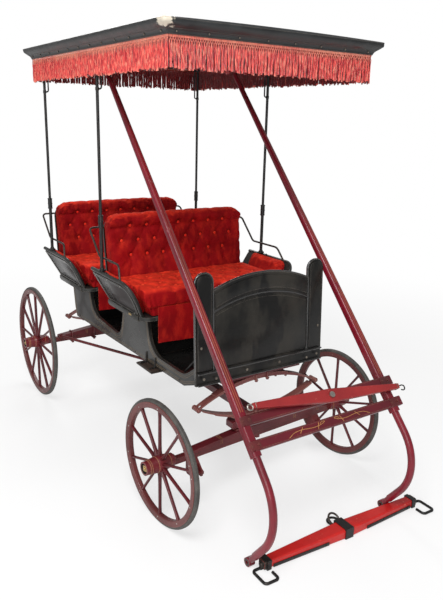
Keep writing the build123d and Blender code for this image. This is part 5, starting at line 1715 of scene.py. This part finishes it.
class SURREY_OT_trees(bpy.types.Operator):
    """Finishes the swingletree and the loose singletree and adds their rings, hooks and strips"""

    bl_idname = "surrey.trees"
    bl_label = "Swingletrees"

    def execute(self, context):
        for finish, node in (("tree", "swingletree"), ("steel", "swingletree_bolt"), ("bar", "singletree"),
                             ("iron", "singletree_irons")):
            finish_nodes(finish, node)
        self.swingletree()
        self.singletree()
        return {"FINISHED"}

    @staticmethod
    def swingletree():
        """The ring at one end, the hook at the other, a cuff at both and the plate under the bolt."""
        place = shaft_place(0.113, 0.044, 0.042) @ Matrix.Rotation(math.radians(-6.4), 4, "Z")
        ring, cuffs, hook, wear = (Shape() for _ in range(4))
        ring.tube([(-0.4155 + x, -0.003 + y, 0.002) for x, y in circle(0.0125, 24)], 0.0036, closed=True,
                  matrix=place)
        ring.tube([(-0.385, 0, 0), (-0.404, 0, 0.001)], 0.0034, matrix=place)
        reach, half = 0.0128, 0.0132
        for x in (-0.392, 0.392):
            corners = ((x, -reach, -half), (x, reach, -half), (x, reach, half), (x, -reach, half))
            cuffs.tube(rounded(corners, 0.005, 3, closed=True), 0.0016, closed=True, matrix=place)
        hook.tube(HOOK_PATH, 0.0031, matrix=place, kind="NURBS")
        flat = place @ Matrix.Translation((0, 0, 0.0131)) @ Matrix.Rotation(-QUARTER_TURN, 4, "Y")
        wear.turned(WEAR_PLATE, flat, 32)
        for name, shape, paint in (("tree_ring", ring, "steel"), ("tree_cuffs", cuffs, "old_steel"),
                                   ("tree_hook", hook, "iron"), ("tree_wear_plate", wear, "axle")):
            piece(name, shape, paint, body="swingletree")

    @staticmethod
    def singletree():
        """The loose tree's side strips with their rivets, its end caps and its middle ring."""
        place = Matrix.Translation((0.087, -0.562, 0)) @ Matrix.Rotation(math.radians(-1.1), 4, "Z")
        strips, caps = Shape(), Shape()
        slope = math.atan2(0.018, 0.459)
        for side in (-1, 1):
            turn = place @ Matrix.Translation((side * 0.265, -0.0302, 0.0150))
            turn = turn @ Matrix.Rotation(side * slope, 4, "Z")
            strips.box((0, 0, 0), (0.300, 0.0036, 0.016), 0.0012, turn)
            for x in (-0.130, -0.045, 0.045, 0.130):
                strips.ball(turn @ Vector((x, -0.0018, 0)), -turn.to_3x3().col[1], 0.0056, 0.0032, 10, 3)
            caps.box((side * 0.4505, 0, 0.025), (0.0200, 0.0456, 0.0396), 0.0060, place, 3)
            caps.ball(place @ Vector((side * 0.4600, 0, 0.0215)), (side, 0, -0.2), 0.0125, 0.0100, 16, 5)
        loop = [(-0.010 + 0.026 * x, 0.056 + 0.024 * y, 0.048 + 0.016 * y) for x, y in circle(1.0, 32)]
        caps.tube(loop, 0.0050, closed=True, matrix=place)
        piece("singletree_strips", strips, "iron")
        piece("singletree_caps", caps, "seat_iron")


# Floor, lights and camera
LAMPS = (
    # name, place, what it faces, size, share of the key lamp's power
    ("key", (-2.6, -3.0, 5.2), (0.0, 0.0, 0.8), 2.4, 1.0),
    ("fill", (-3.3, -3.9, 2.0), (0.0, 0.0, 0.9), 2.2, 0.38),
    ("back", (1.2, 3.8, 4.4), (0.0, 0.4, 1.0), 2.4, 0.40),
)
CAMERA_PLACE = (-1.794, -2.311 - MIDDLE_Y, 1.805)
CAMERA_YAW, CAMERA_PITCH, CAMERA_ROLL = math.radians(34.0), math.radians(15.88), math.radians(1.486)


class SURREY_OT_stage(bpy.types.Operator):
    """A pale floor, soft studio light and the camera of the photograph"""

    bl_idname = "surrey.stage"
    bl_label = "Stage"

    def execute(self, context):
        scene = context.scene
        values = scene.surrey_stage
        shape = Shape()
        bmesh.ops.create_grid(shape.bm, x_segments=1, y_segments=1, size=30.0)
        floor = add_object("floor_sheet", shape.mesh("floor_sheet", recalc=False))
        floor.data.materials.append(self.floor_paint(values.floor))
        self.world(scene, values.sky)
        for name, place, aim, size, power in LAMPS:
            light = bpy.data.lights.new(name, "AREA")
            light.shape = "SQUARE"
            light.size = size
            light.energy = values.key * power
            lamp = add_object(name, light)
            lamp.location = place
            lamp.rotation_euler = (Vector(aim) - Vector(place)).to_track_quat("-Z", "Y").to_euler()
        self.camera(scene, values.lens)
        scene.view_settings.view_transform = "Standard"
        return {"FINISHED"}

    @staticmethod
    def floor_paint(colour):
        """Pale paper that the camera sees turn white with distance."""
        paint = Paint("floor_paper", Roughness=0.9, Specular_IOR_Level=0.1)
        tone = paint.noise(0.8, 2.0).ramp(0.3, 0.7)
        shaded = [value * 0.985 for value in colour]
        paint.link(paint.mix(tone, (*colour, 1.0), (*shaded, 1.0)), paint.shader.inputs["Base Color"])
        glow = paint.node("ShaderNodeEmission", {}, {"Color": (1, 1, 1, 1), "Strength": 1.0})
        seen = paint.node("ShaderNodeLightPath", {}, {}, "Is Camera Ray")
        away = paint.vector("LENGTH", paint.place).ramp(1.2, 5.0, 0.62, 1.0)
        mix = paint.node(
            "ShaderNodeMixShader", {}, {0: seen * away, 1: Value(paint, paint.shader.outputs[0]), 2: glow},
        )
        paint.link(mix, paint.tree.nodes["Material Output"].inputs["Surface"])
        return paint.material

    @staticmethod
    def world(scene, sky):
        """Even white light of the sky's strength, seen as plain white."""
        scene.world = bpy.data.worlds.new("studio")
        scene.world.use_nodes = True
        nodes = Nodes(scene.world.node_tree)
        seen = nodes.node("ShaderNodeLightPath", {}, {}, "Is Camera Ray")
        seen = seen.most(Value(nodes, seen.socket.node.outputs["Is Transmission Ray"]))
        strength = nodes.node("ShaderNodeMapRange", {}, {"Value": seen, "To Min": sky, "To Max": 1.0})
        background = nodes.tree.nodes["Background"]
        background.inputs["Color"].default_value = (1, 1, 1, 1)
        nodes.link(strength, background.inputs["Strength"])

    @staticmethod
    def camera(scene, lens):
        yaw, pitch, roll = CAMERA_YAW, CAMERA_PITCH, CAMERA_ROLL
        ahead = Vector((math.sin(yaw) * math.cos(pitch), math.cos(yaw) * math.cos(pitch), -math.sin(pitch)))
        right = Vector((math.cos(yaw), -math.sin(yaw), 0))
        up = right.cross(ahead)
        rolled_right = right * math.cos(roll) + up * math.sin(roll)
        rolled_up = up * math.cos(roll) - right * math.sin(roll)
        data = bpy.data.cameras.new("photograph")
        data.lens = lens
        data.sensor_width = 36.0
        data.sensor_fit = "AUTO"
        scene.camera = add_object("photograph", data)
        scene.camera.matrix_world = axes_at(CAMERA_PLACE, rolled_right, rolled_up, -ahead)


OPERATORS = (
    SURREY_OT_wheels, SURREY_OT_gear, SURREY_OT_springs, SURREY_OT_body, SURREY_OT_steps, SURREY_OT_dash,
    SURREY_OT_seat_arms, SURREY_OT_cushions, SURREY_OT_falls, SURREY_OT_posts, SURREY_OT_top, SURREY_OT_fringe,
    SURREY_OT_shafts, SURREY_OT_trees, SURREY_OT_stage,
)


class VIEW3D_PT_surrey(bpy.types.Panel):
    """Lists the operators and their values"""

    bl_label = "Surrey"
    bl_idname = "VIEW3D_PT_surrey"
    bl_space_type = "VIEW_3D"
    bl_region_type = "UI"
    bl_category = "Surrey"

    def draw(self, context):
        column = self.layout.column(align=True)
        for operator in OPERATORS:
            column.operator(operator.bl_idname)
        for group in (context.scene.surrey_sizes, context.scene.surrey_stage):
            for label in group.bl_rna.properties.keys():
                if label not in ("rna_type", "name"):
                    self.layout.prop(group, label)


CLASSES = (SurreySizes, SurreyStage, *OPERATORS, VIEW3D_PT_surrey)


def register():
    for item in CLASSES:
        bpy.utils.register_class(item)
    bpy.types.Scene.surrey_sizes = bpy.props.PointerProperty(type=SurreySizes)
    bpy.types.Scene.surrey_stage = bpy.props.PointerProperty(type=SurreyStage)


def unregister():
    del bpy.types.Scene.surrey_stage
    del bpy.types.Scene.surrey_sizes
    for item in reversed(CLASSES):
        bpy.utils.unregister_class(item)


def main():
    register()
    for operator in OPERATORS:
        group, label = operator.bl_idname.split(".")
        getattr(getattr(bpy.ops, group), label)()


if __name__ == "__main__":
    main()
